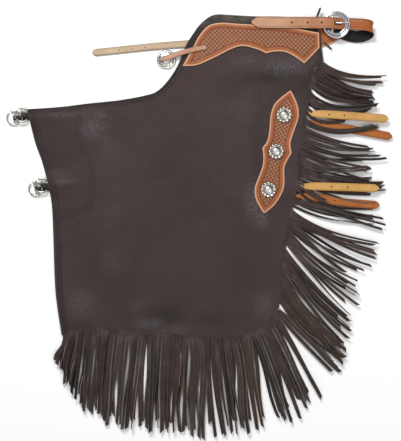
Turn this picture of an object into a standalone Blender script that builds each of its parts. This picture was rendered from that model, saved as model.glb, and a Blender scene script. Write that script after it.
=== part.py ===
"""Short fringed leather chaps, a pair, laid flat with the near leg folded over the far leg.

Tables hold millimetres, +X to the right, +Y up the leg and +Z off the table. Meshes are in metres.
Layers from the table up: far yoke, far leg, near leg, near yoke and patches, buckled back strap.
"""

import math
import random

import bmesh
import bpy
from mathutils import Vector
from mathutils.bvhtree import BVHTree

MM = 0.001
GAP = 0.3
# Moves the whole pair so that the middle of its box is the origin
CENTRE_SHIFT = (1.5, 2.0, 0.0)
# Rays for finding a surface start from this height
RAY_START = 500.0
# Overlays clear the highest spot of the leg within this distance
REST_REACH = 12.0

# Leather weights
LEG_THICK = 1.8
YOKE_THICK = 2.6
FAR_YOKE_THICK = 2.4
PATCH_THICK = 1.2
PLATE_THICK = 2.2
BELT_THICK = 2.8
BELT_WIDTH = 25.4
STRAP_THICK = 2.4
LEG_STRAP_WIDTH = 18.0
FRONT_STRAP_WIDTH = 15.5
STRING_THICK = 1.4

# Heights of the layers
FAR_LIFT = FAR_YOKE_THICK + GAP
LEG_GAP = 0.5
NEAR_FLOOR = LEG_THICK + LEG_GAP
RAMP_START, RAMP_END = 255.0, 348.0

# Leg outlines, columns x, y, corner (1 where the edge turns sharply).
# The near leg covers the far leg, which shows above its waist.
NEAR_TOP = [
    (-378, 243), (-308, 251), (-242, 256), (-176, 263), (-117, 275), (-88, 287), (-64, 309), (-44, 340),
    (-30, 367), (-15, 392), (0, 414), (18, 433), (48, 441), (79, 439), (112, 437), (187, 432), (264, 419),
]
NEAR_RIGHT = [
    (264, 419), (267, 384), (271, 354, 1), (251, 336), (243, 305), (235, 272), (228, 230), (224, 182),
    (215, 142), (212, 102), (205, 58), (194, 12), (186, -34), (178, -120), (174, -186),
]
NEAR_HEM = [
    (-304, -248), (-275, -235), (-246, -229), (-209, -232), (-154, -239), (-99, -244), (-44, -246),
    (13, -251), (84, -248), (123, -237), (154, -217), (174, -186),
]
NEAR_LEFT = [
    (-378, 243), (-363, 179), (-349, 140), (-338, 102), (-330, 67), (-324, 16), (-319, -127), (-314, -182),
    (-304, -248),
]
FAR_TOP = [
    (-381, 249), (-308, 254), (-242, 262), (-176, 269), (-117, 280), (-92, 290), (-67, 316), (-47, 349),
    (-29, 392), (-14, 416), (0, 435), (18, 450), (37, 457), (81, 455), (119, 453), (198, 451), (258, 437),
]
FAR_INSET = 6.0
NEAR_CELLS, FAR_CELLS = (22, 19), (16, 14)

# Yokes, columns x, y, corner (1 where the edge turns sharply)
YOKE_TOP = [
    (-13, 388, 0), (-4, 406, 0), (10, 424, 0), (24, 434, 0), (48, 438, 0), (79, 436, 0), (112, 434, 0),
    (187, 429, 0), (261, 416, 0),
]
YOKE_LOW = [
    (-38, 343, 0), (-8, 345, 0), (30, 361, 0), (70, 381, 0), (95, 387, 0), (125, 380, 0), (145, 371, 1),
    (163, 375, 0), (186, 374, 0), (206, 365, 0), (229, 349, 1), (241, 361, 0), (262, 383, 0),
]
FAR_YOKE_TOP = [
    (-26, 386, 0), (-12, 412, 0), (2, 432, 0), (20, 446, 0), (37, 453, 0), (81, 451, 0), (119, 449, 0),
    (198, 447, 0), (256, 434, 0), (303, 424, 0),
]
FAR_YOKE_LOW = [
    (-41, 354, 0), (0, 357, 0), (60, 384, 0), (98, 394, 0), (163, 384, 0), (200, 378, 0), (229, 362, 0),
    (263, 383, 0), (286, 391, 0), (312, 405, 0),
]

# Side plate under the three conchos, columns x, y, corner
PLATE_LEFT = [
    (197, 289, 0), (176, 273, 0), (162, 257, 0), (155, 234, 0), (152, 200, 0), (147, 178, 0), (137, 164, 1),
    (139, 146, 0), (138, 127, 0), (131, 106, 0), (122, 83, 0), (120, 67, 0), (124, 47, 0), (139, 21, 0),
]
PLATE_RIGHT = [
    (200, 289, 0), (208, 273, 0), (215, 253, 0), (216, 230, 0), (208, 205, 0), (199, 178, 0), (199, 164, 0),
    (201, 152, 1), (190, 133, 0), (185, 117, 0), (185, 83, 0), (178, 61, 0), (163, 38, 0), (143, 21, 0),
]

# Thigh patch at the inner leg, columns x, y, corner
THIGH_TOP = [(-372, 239, 0), (-317, 244, 0), (-260, 245, 0)]
THIGH_RIGHT = [
    (-260, 245, 0), (-264, 206, 0), (-255, 178, 0), (-249, 155, 1), (-238, 143, 0), (-233, 105, 0),
    (-231, 65, 0), (-239, 35, 0), (-255, 23, 0),
]
THIGH_LOW = [(-319, 1, 0), (-301, 8, 0), (-282, 13, 0), (-255, 23, 0)]
THIGH_LEFT = [(-372, 239, 0), (-359, 182, 0), (-344, 140, 0), (-333, 100, 0), (-326, 67, 0), (-319, 1, 0)]

# Soft rises of the near leg over what lies under it, columns x, y, reach x, reach y, height
RISES = [
    (232, 240, 48, 62, 5.0),
    (210, 70, 48, 55, 5.0),
    (218, 150, 46, 72, 4.0),
    (-372, 238, 60, 45, 5.2),
    (-315, 84, 62, 38, 5.2),
    (-132, -208, 44, 52, 5.0),
    (110, 38, 70, 90, 2.2),
    (-242, 200, 70, 55, 1.8),
    (-253, -12, 60, 75, 2.0),
    (205, 314, 46, 34, 3.0),
    (-20, -120, 150, 60, 1.6),
    (-130, 60, 70, 150, 1.4),
]

# Strings, columns root position (y on the side, x on the hem), heading at root, heading at tip, length.
# Headings are in degrees from +X.
SIDE_STRINGS = [
    (353, -50, 5, 134),
    (320, -45, 8, 165),
    (272, -35, 12, 168),
    (212, -38, 5, 160),
    (168, -30, 16, 174),
    (142, -34, 14, 166),
    (102, -24, 12, 190),
    (44, -25, -8, 206),
    (27, -26, -13, 216),
    (-21, -35, -18, 214),
    (-72, -42, -28, 210),
    (-120, -52, -36, 208),
    (-148, -57, -46, 205),
    (-188, -63, -54, 202),
]
HEM_STRINGS = [
    (-304, -108, -95, 72),
    (-286, -104, -98, 100),
    (-264, -100, -98, 154),
    (-248, -97, -96, 182),
    (-216, -95, -95, 198),
    (-158, -93, -93, 209),
    (-103, -92, -92, 212),
    (-46, -90, -90, 216),
    (13, -88, -88, 214),
    (84, -84, -82, 212),
    (121, -78, -72, 207),
    (154, -70, -58, 205),
    (172, -61, -50, 202),
]

# Fringes, columns name, strings, low layer, high layer, turn of every heading, seed, gap to the leg
FRINGES = {
    "near_side": ("near_side_fringe", 50, 7.3, 9.0, 0.0, 11, 0.8),
    "near_hem": ("near_hem_fringe", 54, 3.9, 5.6, 0.0, 12, 0.8),
    "far_side": ("far_side_fringe", 36, 0.3, 2.0, -2.5, 13, 1.3),
    "far_hem": ("far_hem_fringe", 38, 0.3, 2.0, 1.0, 14, 1.8),
}
FRINGE_STRIP = 5.0
STRING_WIDTH = 7.0
STRING_CUT = 1.2
STRING_FLAT, STRING_RISE = 8.0, 22.0
STRING_FIRST = 15.0
# Stretches of the side, low y and high y, where straps leave the near leg and it has no strings
STRAP_EXITS = [(206, 258), (46, 96)]

# Straps, columns x, y, z of the middle of the leather, from the sewn end to the tip
LEG_STRAPS = {
    "far_strap_upper": [(220, 240, 3.5), (230, 239.6, 3.5), (246, 238.6, 4.9), (320, 234, 4.9), (413, 227, 4.9)],
    "near_strap_upper": [
        (220, 221.5, 3.5), (232, 221, 3.5), (248, 219.5, 4.9), (266, 216.5, 4.9), (292, 210.5, 4.9),
        (334, 204, 4.9), (422, 188, 4.9),
    ],
    "far_strap_lower": [(202, 79, 3.5), (212, 79.3, 3.5), (228, 79.6, 4.9), (300, 78, 4.9), (392, 75, 4.9)],
    "near_strap_lower": [
        (196, 58.5, 3.5), (206, 58.5, 3.5), (222, 58, 4.9), (255, 55.5, 4.9), (291, 48.5, 4.9),
        (330, 43, 4.9), (394, 38, 4.9),
    ],
}
LEG_STRAP_HOLES = {
    "far_strap_upper": [(283, 236.5), (316, 234.3), (350, 231.6)],
    "near_strap_upper": [(264, 217), (359, 199.5)],
    "far_strap_lower": [(288, 78.3), (323, 77.3)],
    "near_strap_lower": [(255, 55.5), (295, 48)],
}
FRONT_STRAP = [(-32, 392.5, 1.4), (-77, 389, 1.4), (-121, 385, 1.4), (-178, 379, 1.4), (-237, 373, 1.4)]
FRONT_STRAP_HOLES = [(-178, 379), (-150, 382), (-121, 385)]
BELT = [
    (296, 421, 4.4), (310, 416, 4.2), (319, 413, 3.4), (329, 410, 2.4), (343, 408, 2.4), (356, 409, 2.9),
    (365, 412, 4.0), (371, 415.5, 6.2), (375, 419, 9.4), (376.5, 423, 13.4), (375, 426.5, 17.8),
    (371, 429, 20.8), (364, 431, 21.8), (352, 432.5, 19.6), (340, 434, 15.2), (328, 435, 11.6),
    (318, 435.3, 10.6), (308, 435.5, 11.6), (299, 435.7, 15.0), (291, 436, 18.4), (284, 436.5, 18.9),
    (274, 437, 17.4), (262, 437.5, 14.0), (250, 437.5, 13.1), (234, 437.5, 12.9), (222, 437.8, 11.6),
    (170, 438, 11.5), (113, 439.5, 11.5),
]
BELT_HOLES = [(201, 438), (236, 437.5), (267, 437.4)]
HOLE_DIAMETER = 4.4

# Buckle
RING_PLACE = (299, 433, 14.3)
RING_TILT = 0.05
RING_PROFILE = [(29.5, -1.3), (29.7, -0.2), (28.4, 1.5), (24.5, 1.0), (19.0, 0.2), (18.0, -0.6), (18.4, -1.3)]
RING_STEPS = 28
BAR_X = -9.0
BAR_DROP = 0.3
BAR_REACH = 18.2
BAR_RADIUS = 1.6
CHAPE_WIDTH = 16.0
CHAPE_THICK = 1.2
# The chape's straight run under the strap, columns x, z, and its turn round the bar in degrees
CHAPE_RUN = [(236, 10.7), (258, 10.7), (274, 10.7)]
CHAPE_TURN = (-90, 171, 26)
TONGUE_RADIUS = 1.3
TONGUE_OFFSET = 4.0
TONGUE_TURN = (170, 331, 32)
TONGUE_RUN = [(298, 14.4), (305, 16.6), (313, 18.2), (322, 18.6)]
# Slot in the strap for the tongue: x, y, length, width
TONGUE_SLOT = (301, 437, 14, 5)

# Conchos
CONCHOS = [(184, 236), (167, 156), (150, 72)]
CONCHO_PROFILE = [(0, 6.0), (5.0, 5.2), (9.0, 2.6), (11.5, 2.2), (14.6, 2.9), (16.4, 1.5), (16.2, 0.0)]
CONCHO_LOBES = 12
CONCHO_LOBE_DEPTH = 0.07
FRONT_CONCHO = (-74, 358)
FRONT_CONCHO_PROFILE = [(0, 5.6), (8.0, 5.0), (14.0, 3.6), (19.5, 2.2), (21.6, 1.4), (22.0, 0.0)]
FRONT_SLOT = (7.5, 14.0)
FRONT_SLOT_OUT = 10.2
FRONT_TIE = [
    (13, 384, 11.1), (-5, 381, 11.1), (-22, 377, 10.9), (-38, 373, 9.0), (-52, 368.5, 7.2), (-64, 364, 7.4),
    (-74, 361, 7.7), (-81, 359.8, 7.0), (-84.4, 359.2, 4.8), (-85.2, 359, 1.8),
]
FRONT_TIE_WIDTH = 11.0
FRONT_TIE_THICK = 2.0

# Snaps, columns name, x, y, height of the wire's middle, height of the tab's tail, end of the tail
SNAPS = [
    ("near_snap_upper", -391, 236, 8.4, 4.35, -355),
    ("far_snap_upper", -409, 230, 3.4, 2.75, -355),
    ("near_snap_lower", -348, 81, 8.4, 4.35, -302),
    ("far_snap_lower", -361, 74, 3.4, 2.75, -306),
]
SNAP_RADIUS = 15.0
SNAP_WIRE = 1.5
SNAP_BAR_X = 1.0
# Angles, in degrees, of the snap's two fixed arms and of its gate
SNAP_ARMS = [(35, 119), (218, 325)]
SNAP_GATE = (133, 214)
TAB_WIDTH = 10.0
TAB_THICK = 1.3

LACES = {
    "lace_end_upper": ([(256, 447.5, 10.9), (258, 455, 10.9), (264, 471, 10.9)], 5.0),
    "lace_end_lower": ([(272, 396, 3.7), (280, 388.5, 3.7), (290, 380.5, 3.4)], 4.0),
}
LACE_THICK = 1.4


def clear_scene():
    for thing in list(bpy.data.objects):
        bpy.data.objects.remove(thing)


def new_collection(name, shown=True):
    made = bpy.data.collections.new(name)
    made.hide_render = not shown
    bpy.context.scene.collection.children.link(made)
    return made


def new_material(name, colour, roughness, metallic=0.0):
    made = bpy.data.materials.new(name)
    made.use_nodes = True
    shader = made.node_tree.nodes["Principled BSDF"]
    shader.inputs["Base Color"].default_value = (*colour, 1.0)
    shader.inputs["Roughness"].default_value = roughness
    shader.inputs["Metallic"].default_value = metallic
    return made


def smooth_step(t):
    t = min(1.0, max(0.0, t))
    return t * t * (3.0 - 2.0 * t)


def far_floor(x, y):
    """Underside of the far leg: on the table, and lifted over its own yoke at the waist."""
    return FAR_LIFT * smooth_step((y - RAMP_START) / (RAMP_END - RAMP_START))


def near_floor(x, y):
    """Underside of the near leg: on the far leg, with soft rises."""
    height = far_floor(x, y) + NEAR_FLOOR
    for cx, cy, rx, ry, rise in RISES:
        far = ((x - cx) / rx) ** 2 + ((y - cy) / ry) ** 2
        if far < 1.0:
            height += rise * (1.0 - far) ** 2
    return height


def spline_points(points, per_span=12):
    """Catmull-Rom curve through the points."""
    ends = [2 * points[0] - points[1], *points, 2 * points[-1] - points[-2]]
    made = []
    for i in range(1, len(ends) - 2):
        a, b, c, d = ends[i - 1 : i + 3]
        for step in range(per_span):
            t = step / per_span
            made.append(
                0.5 * (2 * b + (c - a) * t + (2 * a - 5 * b + 4 * c - d) * t**2 + (3 * b - a - 3 * c + d) * t**3)
            )
    made.append(points[-1])
    return made


def spaced(points, cells):
    """The line cut into equal lengths."""
    lengths = [0.0]
    for a, b in zip(points, points[1:]):
        lengths.append(lengths[-1] + (b - a).length)
    made, i = [], 0
    for k in range(cells + 1):
        want = lengths[-1] * k / cells
        while i < len(points) - 2 and lengths[i + 1] < want:
            i += 1
        share = (want - lengths[i]) / max(1e-9, lengths[i + 1] - lengths[i])
        made.append(points[i].lerp(points[i + 1], min(1.0, share)))
    return made


def edge_line(rows, cells):
    """Points along an edge in equal steps, keeping each marked corner."""
    spans, span = [], []
    for i, row in enumerate(rows):
        span.append(Vector(row[:2]))
        if i and (i == len(rows) - 1 or (len(row) > 2 and row[2])):
            spans.append(spline_points(span) if len(span) > 2 else span)
            span = [Vector(row[:2])]
    lengths = [sum((b - a).length for a, b in zip(s, s[1:])) for s in spans]
    counts = [max(1, round(cells * length / sum(lengths))) for length in lengths]
    counts[counts.index(max(counts))] += cells - sum(counts)
    made = []
    for s, count in zip(spans, counts):
        made += spaced(s, count)[: -1 if s is not spans[-1] else None]
    return made


def coons_grid(top, low, left, right):
    """Rows of plan points between four edges: top and low run along X, left and right run down."""
    across, down = len(top) - 1, len(left) - 1
    rows = []
    for j in range(down + 1):
        v = j / down
        row = []
        for i in range(across + 1):
            u = i / across
            along = top[i] * (1 - v) + low[i] * v + left[j] * (1 - u) + right[j] * u
            corners = (top[0] * (1 - u) + top[-1] * u) * (1 - v) + (low[0] * (1 - u) + low[-1] * u) * v
            row.append(along - corners)
        rows.append(row)
    return rows


def mesh_object(name, points, faces, material, home):
    mesh = bpy.data.meshes.new(name)
    mesh.from_pydata([Vector(p) * MM for p in points], [], faces)
    shape = bmesh.new()
    shape.from_mesh(mesh)
    bmesh.ops.recalc_face_normals(shape, faces=shape.faces)
    shape.to_mesh(mesh)
    shape.free()
    mesh.shade_smooth()
    mesh.set_sharp_from_angle(angle=math.radians(40))
    mesh.materials.append(material)
    made = bpy.data.objects.new(name, mesh)
    home.objects.link(made)
    return made


def leather_wall(name, edges, cells, thick, floor, material, home):
    """One cut piece of leather: an open sheet on its floor, with its thickness above."""
    across, down = cells
    counts = (across, across, down, down)
    rows = coons_grid(*[edge_line(edge, count) for edge, count in zip(edges, counts)])
    points = [(p.x, p.y, floor(p.x, p.y)) for row in rows for p in row]
    wide = across + 1
    faces = [
        (j * wide + i, (j + 1) * wide + i, (j + 1) * wide + i + 1, j * wide + i + 1)
        for j in range(down)
        for i in range(across)
    ]
    mesh = bpy.data.meshes.new(name)
    mesh.from_pydata([Vector(p) * MM for p in points], [], faces)
    mesh.shade_smooth()
    mesh.materials.append(material)
    made = bpy.data.objects.new(name, mesh)
    home.objects.link(made)
    shell = made.modifiers.new("thickness", "SOLIDIFY")
    shell.thickness = thick * MM
    shell.offset = 1.0
    return made


def evaluated_tree(thing):
    graph = bpy.context.evaluated_depsgraph_get()
    graph.update()
    return BVHTree.FromObject(thing, graph)


def top_height(tree, x, y, reach):
    """Highest point of a piece under a spot and under the ring of spots around it."""
    spots = [(x, y)]
    for k in range(8):
        turn = math.tau * k / 8
        spots.append((x + reach * math.cos(turn), y + reach * math.sin(turn)))
    found = []
    for sx, sy in spots:
        hit = tree.ray_cast(Vector((sx, sy, RAY_START)) * MM, Vector((0, 0, -1)))
        if hit[0] is not None:
            found.append(hit[0].z / MM)
    return max(found)


def resting_on(tree, reach):
    return lambda x, y: top_height(tree, x, y, reach) + GAP


def ribbon(name, route, width, thick, material, home, across=None, tip=True, smooth=3):
    """A strap of constant section along a route; a fixed across keeps its width level round a turn."""
    line = [Vector(p) for p in route]
    if smooth > 1:
        line = spline_points(line, smooth)
    if tip:
        line = rounded_tip(line, width)
    points = []
    for i, place in enumerate(line):
        ahead = (line[min(i + 1, len(line) - 1)] - line[max(i - 1, 0)]).normalized()
        side = Vector(across) if across else Vector((-ahead.y, ahead.x, 0.0))
        side = (side - ahead * side.dot(ahead)).normalized()
        up = ahead.cross(side)
        half = 0.5 * width * (tip_share(line, i, width) if tip else 1.0)
        for sx, sz in ((-1, -1), (1, -1), (1, 1), (-1, 1)):
            points.append(place + side * half * sx + up * 0.5 * thick * sz)
    faces = [(0, 1, 2, 3), tuple(len(points) - 4 + k for k in range(4))]
    for i in range(len(line) - 1):
        for k in range(4):
            n = (k + 1) % 4
            faces.append((4 * i + k, 4 * i + n, 4 * i + 4 + n, 4 * i + 4 + k))
    return mesh_object(name, points, faces, material, home)


def rounded_tip(line, width):
    """The same line with three close stations at its end, where the strap narrows."""
    lengths = [0.0]
    for a, b in zip(line, line[1:]):
        lengths.append(lengths[-1] + (b - a).length)
    total = lengths[-1]
    kept = [p for p, s in zip(line, lengths) if s < total - 0.8 * width]
    start = line[len(kept) - 1]
    end = line[-1]
    length = (end - start).length
    for back in (0.62, 0.3, 0.1, 0.0):
        kept.append(end.lerp(start, min(1.0, back * width / length)))
    return kept


def tip_share(line, i, width):
    back = (line[-1] - line[i]).length / width
    return min(1.0, 0.28 + 0.72 * math.sin(0.5 * math.pi * min(1.0, back / 0.6)))


def turned(name, profile, steps, material, home, lobes=0, lobe_depth=0.0, ring=False):
    """A profile of radius and height turned about Z; its outer rows may be lobed."""
    points, rows = [], []
    outer = max(r for r, _ in profile)
    for radius, height in profile:
        if radius == 0:
            rows.append([len(points)])
            points.append((0.0, 0.0, height))
            continue
        row = []
        for k in range(steps):
            turn = math.tau * k / steps
            wave = lobe_depth * math.cos(lobes * turn) if lobes and radius > 0.85 * outer else 0.0
            reach = radius * (1.0 + wave)
            row.append(len(points))
            points.append((reach * math.cos(turn), reach * math.sin(turn), height))
        rows.append(row)
    faces = []
    pairs = list(zip(rows, rows[1:] + rows[:1])) if ring else list(zip(rows, rows[1:]))
    for first, second in pairs:
        for k in range(steps):
            n = (k + 1) % steps
            if len(first) == 1:
                faces.append((first[0], second[k], second[n]))
            else:
                faces.append((first[k], second[k], second[n], first[n]))
    if not ring:
        faces.append(tuple(rows[-1]))
    return mesh_object(name, points, faces, material, home)


def wire(name, route, radius, material, home, sides=1):
    """A round wire as a mesh, its caps welded."""
    curve = bpy.data.curves.new(name, "CURVE")
    curve.dimensions = "3D"
    curve.bevel_depth = radius * MM
    curve.bevel_resolution = sides
    curve.use_fill_caps = True
    spline = curve.splines.new("POLY")
    spline.points.add(len(route) - 1)
    for point, place in zip(spline.points, route):
        point.co = (*(Vector(place) * MM), 1.0)
    guide = bpy.data.objects.new(name + "_guide", curve)
    bpy.context.scene.collection.objects.link(guide)
    graph = bpy.context.evaluated_depsgraph_get()
    mesh = bpy.data.meshes.new_from_object(guide.evaluated_get(graph))
    bpy.data.objects.remove(guide)
    shape = bmesh.new()
    shape.from_mesh(mesh)
    bmesh.ops.remove_doubles(shape, verts=shape.verts, dist=1e-6)
    bmesh.ops.recalc_face_normals(shape, faces=shape.faces)
    shape.to_mesh(mesh)
    shape.free()
    mesh.shade_smooth()
    mesh.set_sharp_from_angle(angle=math.radians(60))
    mesh.materials.append(material)
    made = bpy.data.objects.new(name, mesh)
    home.objects.link(made)
    return made


def cutter(name, corners, cutters):
    """A box that cuts, from its low and high corners."""
    low, high = Vector(corners[0]), Vector(corners[1])
    shape = bmesh.new()
    bmesh.ops.create_cube(shape, size=1.0)
    size, middle = (high - low) * MM, (high + low) * 0.5 * MM
    for vert in shape.verts:
        vert.co = Vector(c * s for c, s in zip(vert.co, size)) + middle
    return finish_cutter(name, shape, cutters)


def hole_cutter(name, x, y, diameter, cutters):
    shape = bmesh.new()
    bmesh.ops.create_cone(
        shape, cap_ends=True, segments=8, radius1=0.5 * diameter * MM, radius2=0.5 * diameter * MM, depth=80 * MM
    )
    for vert in shape.verts:
        vert.co += Vector((x, y, 10.0)) * MM
    return finish_cutter(name, shape, cutters)


def finish_cutter(name, shape, cutters):
    mesh = bpy.data.meshes.new(name)
    shape.to_mesh(mesh)
    shape.free()
    made = bpy.data.objects.new(name, mesh)
    cutters.objects.link(made)
    made.hide_render = True
    made.display_type = "WIRE"
    return made


def boolean(thing, other, operation="DIFFERENCE"):
    step = thing.modifiers.new(other.name, "BOOLEAN")
    step.operation = operation
    step.solver = "EXACT"
    step.object = other


def string_row(table, where):
    """The row of a string table at a root position, read between its neighbours."""
    rows = sorted(table)
    where = min(max(where, rows[0][0]), rows[-1][0])
    for a, b in zip(rows, rows[1:]):
        if where <= b[0]:
            share = (where - a[0]) / (b[0] - a[0])
            return [p + (q - p) * share for p, q in zip(a, b)]
    return list(rows[-1])


def string_route(root, row, turn, noise, length_noise):
    """Plan points and headings of one string, with its heading changing evenly from root to tip."""
    start, end = (math.radians(row[k] + turn + noise) for k in (1, 2))
    length = row[3] * length_noise
    steps = 24
    line, place = [(0.0, root, start)], root.copy()
    for k in range(steps):
        heading = start + (end - start) * (k + 0.5) / steps
        place = place + Vector((math.cos(heading), math.sin(heading))) * length / steps
        line.append((length * (k + 1) / steps, place.copy(), start + (end - start) * (k + 1) / steps))
    return line


def route_at(line, along):
    for (s0, p0, h0), (s1, p1, h1) in zip(line, line[1:]):
        if along <= s1 + 1e-6:
            share = (along - s0) / (s1 - s0)
            return p0.lerp(p1, share), h0 + (h1 - h0) * share
    return line[-1][1], line[-1][2]


def fringe(key, root_line, table, by_y, floor, segments, skip, material, home):
    """Strings cut in one strip of leather, fused at the strip that lies along the leg's edge."""
    name, count, low_layer, high_layer, turn, seed, parted = FRINGES[key]
    dice = random.Random(seed)
    stations = spaced(root_line, 400)
    strip_length = sum((b - a).length for a, b in zip(stations, stations[1:]))
    points, faces = [], []
    previous = None
    for i in range(count):
        shares = (i / count, (i + 1) / count - STRING_CUT / strip_length)
        ends = [strip_points(stations, share, floor, parted, points) for share in shares]
        if previous is None:
            faces.append(tuple(ends[0][k] for k in (0, 1, 2, 3)))
        else:
            join_rings(faces, previous, ends[0], (0, 1, 2, 3))
        open_side = strip_side(ends)
        join_rings(faces, ends[0], ends[1], (0, 2, 3))
        root = (Vector(points[open_side[0]]) + Vector(points[open_side[1]])) * 0.5
        where = root.y if by_y else root.x
        noise, length_noise = dice.uniform(-0.9, 0.9), dice.uniform(0.93, 1.03)
        slant = dice.choice((-1, 1))
        if any(low < root.y < high for low, high in skip):
            faces.append(tuple(open_side))
        else:
            row = string_row(table, where)
            line = string_route(root.to_2d(), row, turn, noise, length_noise)
            layer = high_layer if i % 2 else low_layer
            grow_string(points, faces, open_side, line, layer, segments, slant)
        previous = ends[1]
    faces.append(tuple(previous))
    return mesh_object(name, points, faces, material, home)


def strip_points(stations, share, floor, parted, points):
    """Four corners of the strip's section at a share of its length: inner low, outer low, outer high, inner high."""
    at = min(max(share, 0.0), 1.0) * (len(stations) - 1)
    i = min(int(at), len(stations) - 2)
    place = stations[i].lerp(stations[i + 1], at - i)
    ahead = (stations[min(i + 4, len(stations) - 1)] - stations[max(i - 3, 0)]).normalized()
    out = Vector((-ahead.y, ahead.x))
    level = floor(place.x, place.y)
    inner, outer = place + out * parted, place + out * (parted + FRINGE_STRIP)
    first = len(points)
    points.append((inner.x, inner.y, level))
    points.append((outer.x, outer.y, level))
    points.append((outer.x, outer.y, level + LEG_THICK))
    points.append((inner.x, inner.y, level + LEG_THICK))
    return [first, first + 1, first + 2, first + 3]


def strip_side(ends):
    """The outer face between two sections, where a string grows: low, low, high, high."""
    return [ends[0][1], ends[1][1], ends[1][2], ends[0][2]]


def join_rings(faces, first, second, sides):
    for k in sides:
        n = (k + 1) % 4
        faces.append((first[k], first[n], second[n], second[k]))


def grow_string(points, faces, ring, line, layer, segments, slant):
    length = line[-1][0]
    root_level = points[ring[0]][2]
    stops = [STRING_FIRST + (length - STRING_FIRST) * k / segments for k in range(segments + 1)]
    for stop in stops:
        last = stop == stops[-1]
        place, heading = route_at(line, stop)
        side = Vector((-math.sin(heading), math.cos(heading)))
        ahead = Vector((math.cos(heading), math.sin(heading)))
        share = min(1.0, max(0.0, stop - STRING_FLAT) / STRING_RISE)
        level = root_level + (layer - root_level) * share
        skew = 4.0 * slant if last else 0.0
        first = place + side * 0.5 * STRING_WIDTH + ahead * (skew - abs(skew))
        second = place - side * 0.5 * STRING_WIDTH + ahead * (-skew - abs(skew))
        new = list(range(len(points), len(points) + 4))
        points.append((first.x, first.y, level))
        points.append((second.x, second.y, level))
        points.append((second.x, second.y, level + STRING_THICK))
        points.append((first.x, first.y, level + STRING_THICK))
        join_rings(faces, ring, new, (0, 1, 2, 3))
        ring = new
    faces.append(tuple(ring))


def trimmed(line, start, end):
    """The line with a length taken off each end."""
    fine = spaced(line, 600)
    step = sum((b - a).length for a, b in zip(fine, fine[1:])) / 600
    return fine[int(start / step) : 600 - int(end / step)]


def shifted(rows, dx, dy):
    return [(row[0] + dx, row[1] + dy, *row[2:]) for row in rows]


def arc_points(centre, radius, start, end, height, steps):
    made = []
    for k in range(steps + 1):
        turn = math.radians(start + (end - start) * k / steps)
        made.append((centre[0] + radius * math.cos(turn), centre[1] + radius * math.sin(turn), height))
    return made


def leg_edges():
    """Top, hem, left and right edges of the near leg and of the far leg."""
    hem = shifted(NEAR_HEM, 0, FAR_INSET)
    right = [FAR_TOP[-1], *shifted(NEAR_RIGHT[1:], -FAR_INSET, 0)]
    left = [FAR_TOP[0], *shifted(NEAR_LEFT[1:], 2, 0)]
    hem[0] = left[-1] = (left[-1][0], hem[0][1])
    hem[-1] = right[-1] = (right[-1][0], hem[-1][1])
    return (NEAR_TOP, NEAR_HEM, NEAR_LEFT, NEAR_RIGHT), (FAR_TOP, hem, left, right)


def build_legs(leather, home):
    near_edges, far_edges = leg_edges()
    leather_wall("far_leg", far_edges, FAR_CELLS, LEG_THICK, far_floor, leather, home)
    return leather_wall("near_leg", near_edges, NEAR_CELLS, LEG_THICK, near_floor, leather, home)


def fringe_roots(edges, cells):
    """The leg's own side edge below the waist, and its hem from right to left."""
    _, hem, _, right = edges
    corner = Vector(next(row for row in right if len(row) > 2)[:2])
    side = edge_line(right, cells[1])
    start = min(range(len(side)), key=lambda k: (side[k] - corner).length)
    return side[start:], edge_line(hem, cells[0])[::-1]


def build_fringes(leather, home):
    near_edges, far_edges = leg_edges()
    side, hem = fringe_roots(near_edges, NEAR_CELLS)
    fringe("near_side", trimmed(side, 2, 8), SIDE_STRINGS, True, near_floor, 3, STRAP_EXITS, leather, home)
    fringe("near_hem", trimmed(hem, 8, 3), HEM_STRINGS, False, near_floor, 2, [], leather, home)
    side, hem = fringe_roots(far_edges, FAR_CELLS)
    fringe("far_side", trimmed(side, 2, 12), SIDE_STRINGS, True, far_floor, 3, [], leather, home)
    fringe("far_hem", trimmed(hem, 26, 6), HEM_STRINGS, False, far_floor, 1, [], leather, home)


def build_overlays(near, tooled, leather, home):
    on_leg = resting_on(evaluated_tree(near), REST_REACH)
    yoke_ends = ([YOKE_TOP[0], YOKE_LOW[0]], [YOKE_TOP[-1], YOKE_LOW[-1]])
    leather_wall("near_yoke", (YOKE_TOP, YOKE_LOW, *yoke_ends), (24, 2), YOKE_THICK, on_leg, tooled, home)
    far_ends = ([FAR_YOKE_TOP[0], FAR_YOKE_LOW[0]], [FAR_YOKE_TOP[-1], FAR_YOKE_LOW[-1]])
    far_edges = (FAR_YOKE_TOP, FAR_YOKE_LOW, *far_ends)
    leather_wall("far_yoke", far_edges, (20, 2), FAR_YOKE_THICK, lambda x, y: 0.0, tooled, home)
    thigh = (THIGH_TOP, THIGH_LOW, THIGH_LEFT, THIGH_RIGHT)
    leather_wall("thigh_patch", thigh, (5, 9), PATCH_THICK, on_leg, leather, home)
    tips = ([PLATE_LEFT[0], PLATE_RIGHT[0]], [PLATE_LEFT[-1], PLATE_RIGHT[-1]])
    plate = (*tips, PLATE_LEFT, PLATE_RIGHT)
    return leather_wall("concho_plate", plate, (3, 24), PLATE_THICK, on_leg, tooled, home)


def build_conchos(plate, silver, home, cutters):
    tree = evaluated_tree(plate)
    for number, (x, y) in enumerate(CONCHOS, 1):
        level = max(top_height(tree, x, y, reach) for reach in (6.0, 11.0, 16.0)) + GAP
        made = turned(
            f"concho_{number}", CONCHO_PROFILE, 24, silver, home, CONCHO_LOBES, CONCHO_LOBE_DEPTH
        )
        made.location = Vector((x, y, level)) * MM
    x, y = FRONT_CONCHO
    front = turned("front_concho", FRONT_CONCHO_PROFILE, 24, silver, home)
    front.location = Vector((x, y, GAP)) * MM
    wide, tall = FRONT_SLOT
    for side in (-1, 1):
        middle = x + side * FRONT_SLOT_OUT
        corners = ((middle - wide / 2, y - tall / 2, -5), (middle + wide / 2, y + tall / 2, 20))
        boolean(front, cutter(f"front_slot_{side}", corners, cutters))


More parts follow.
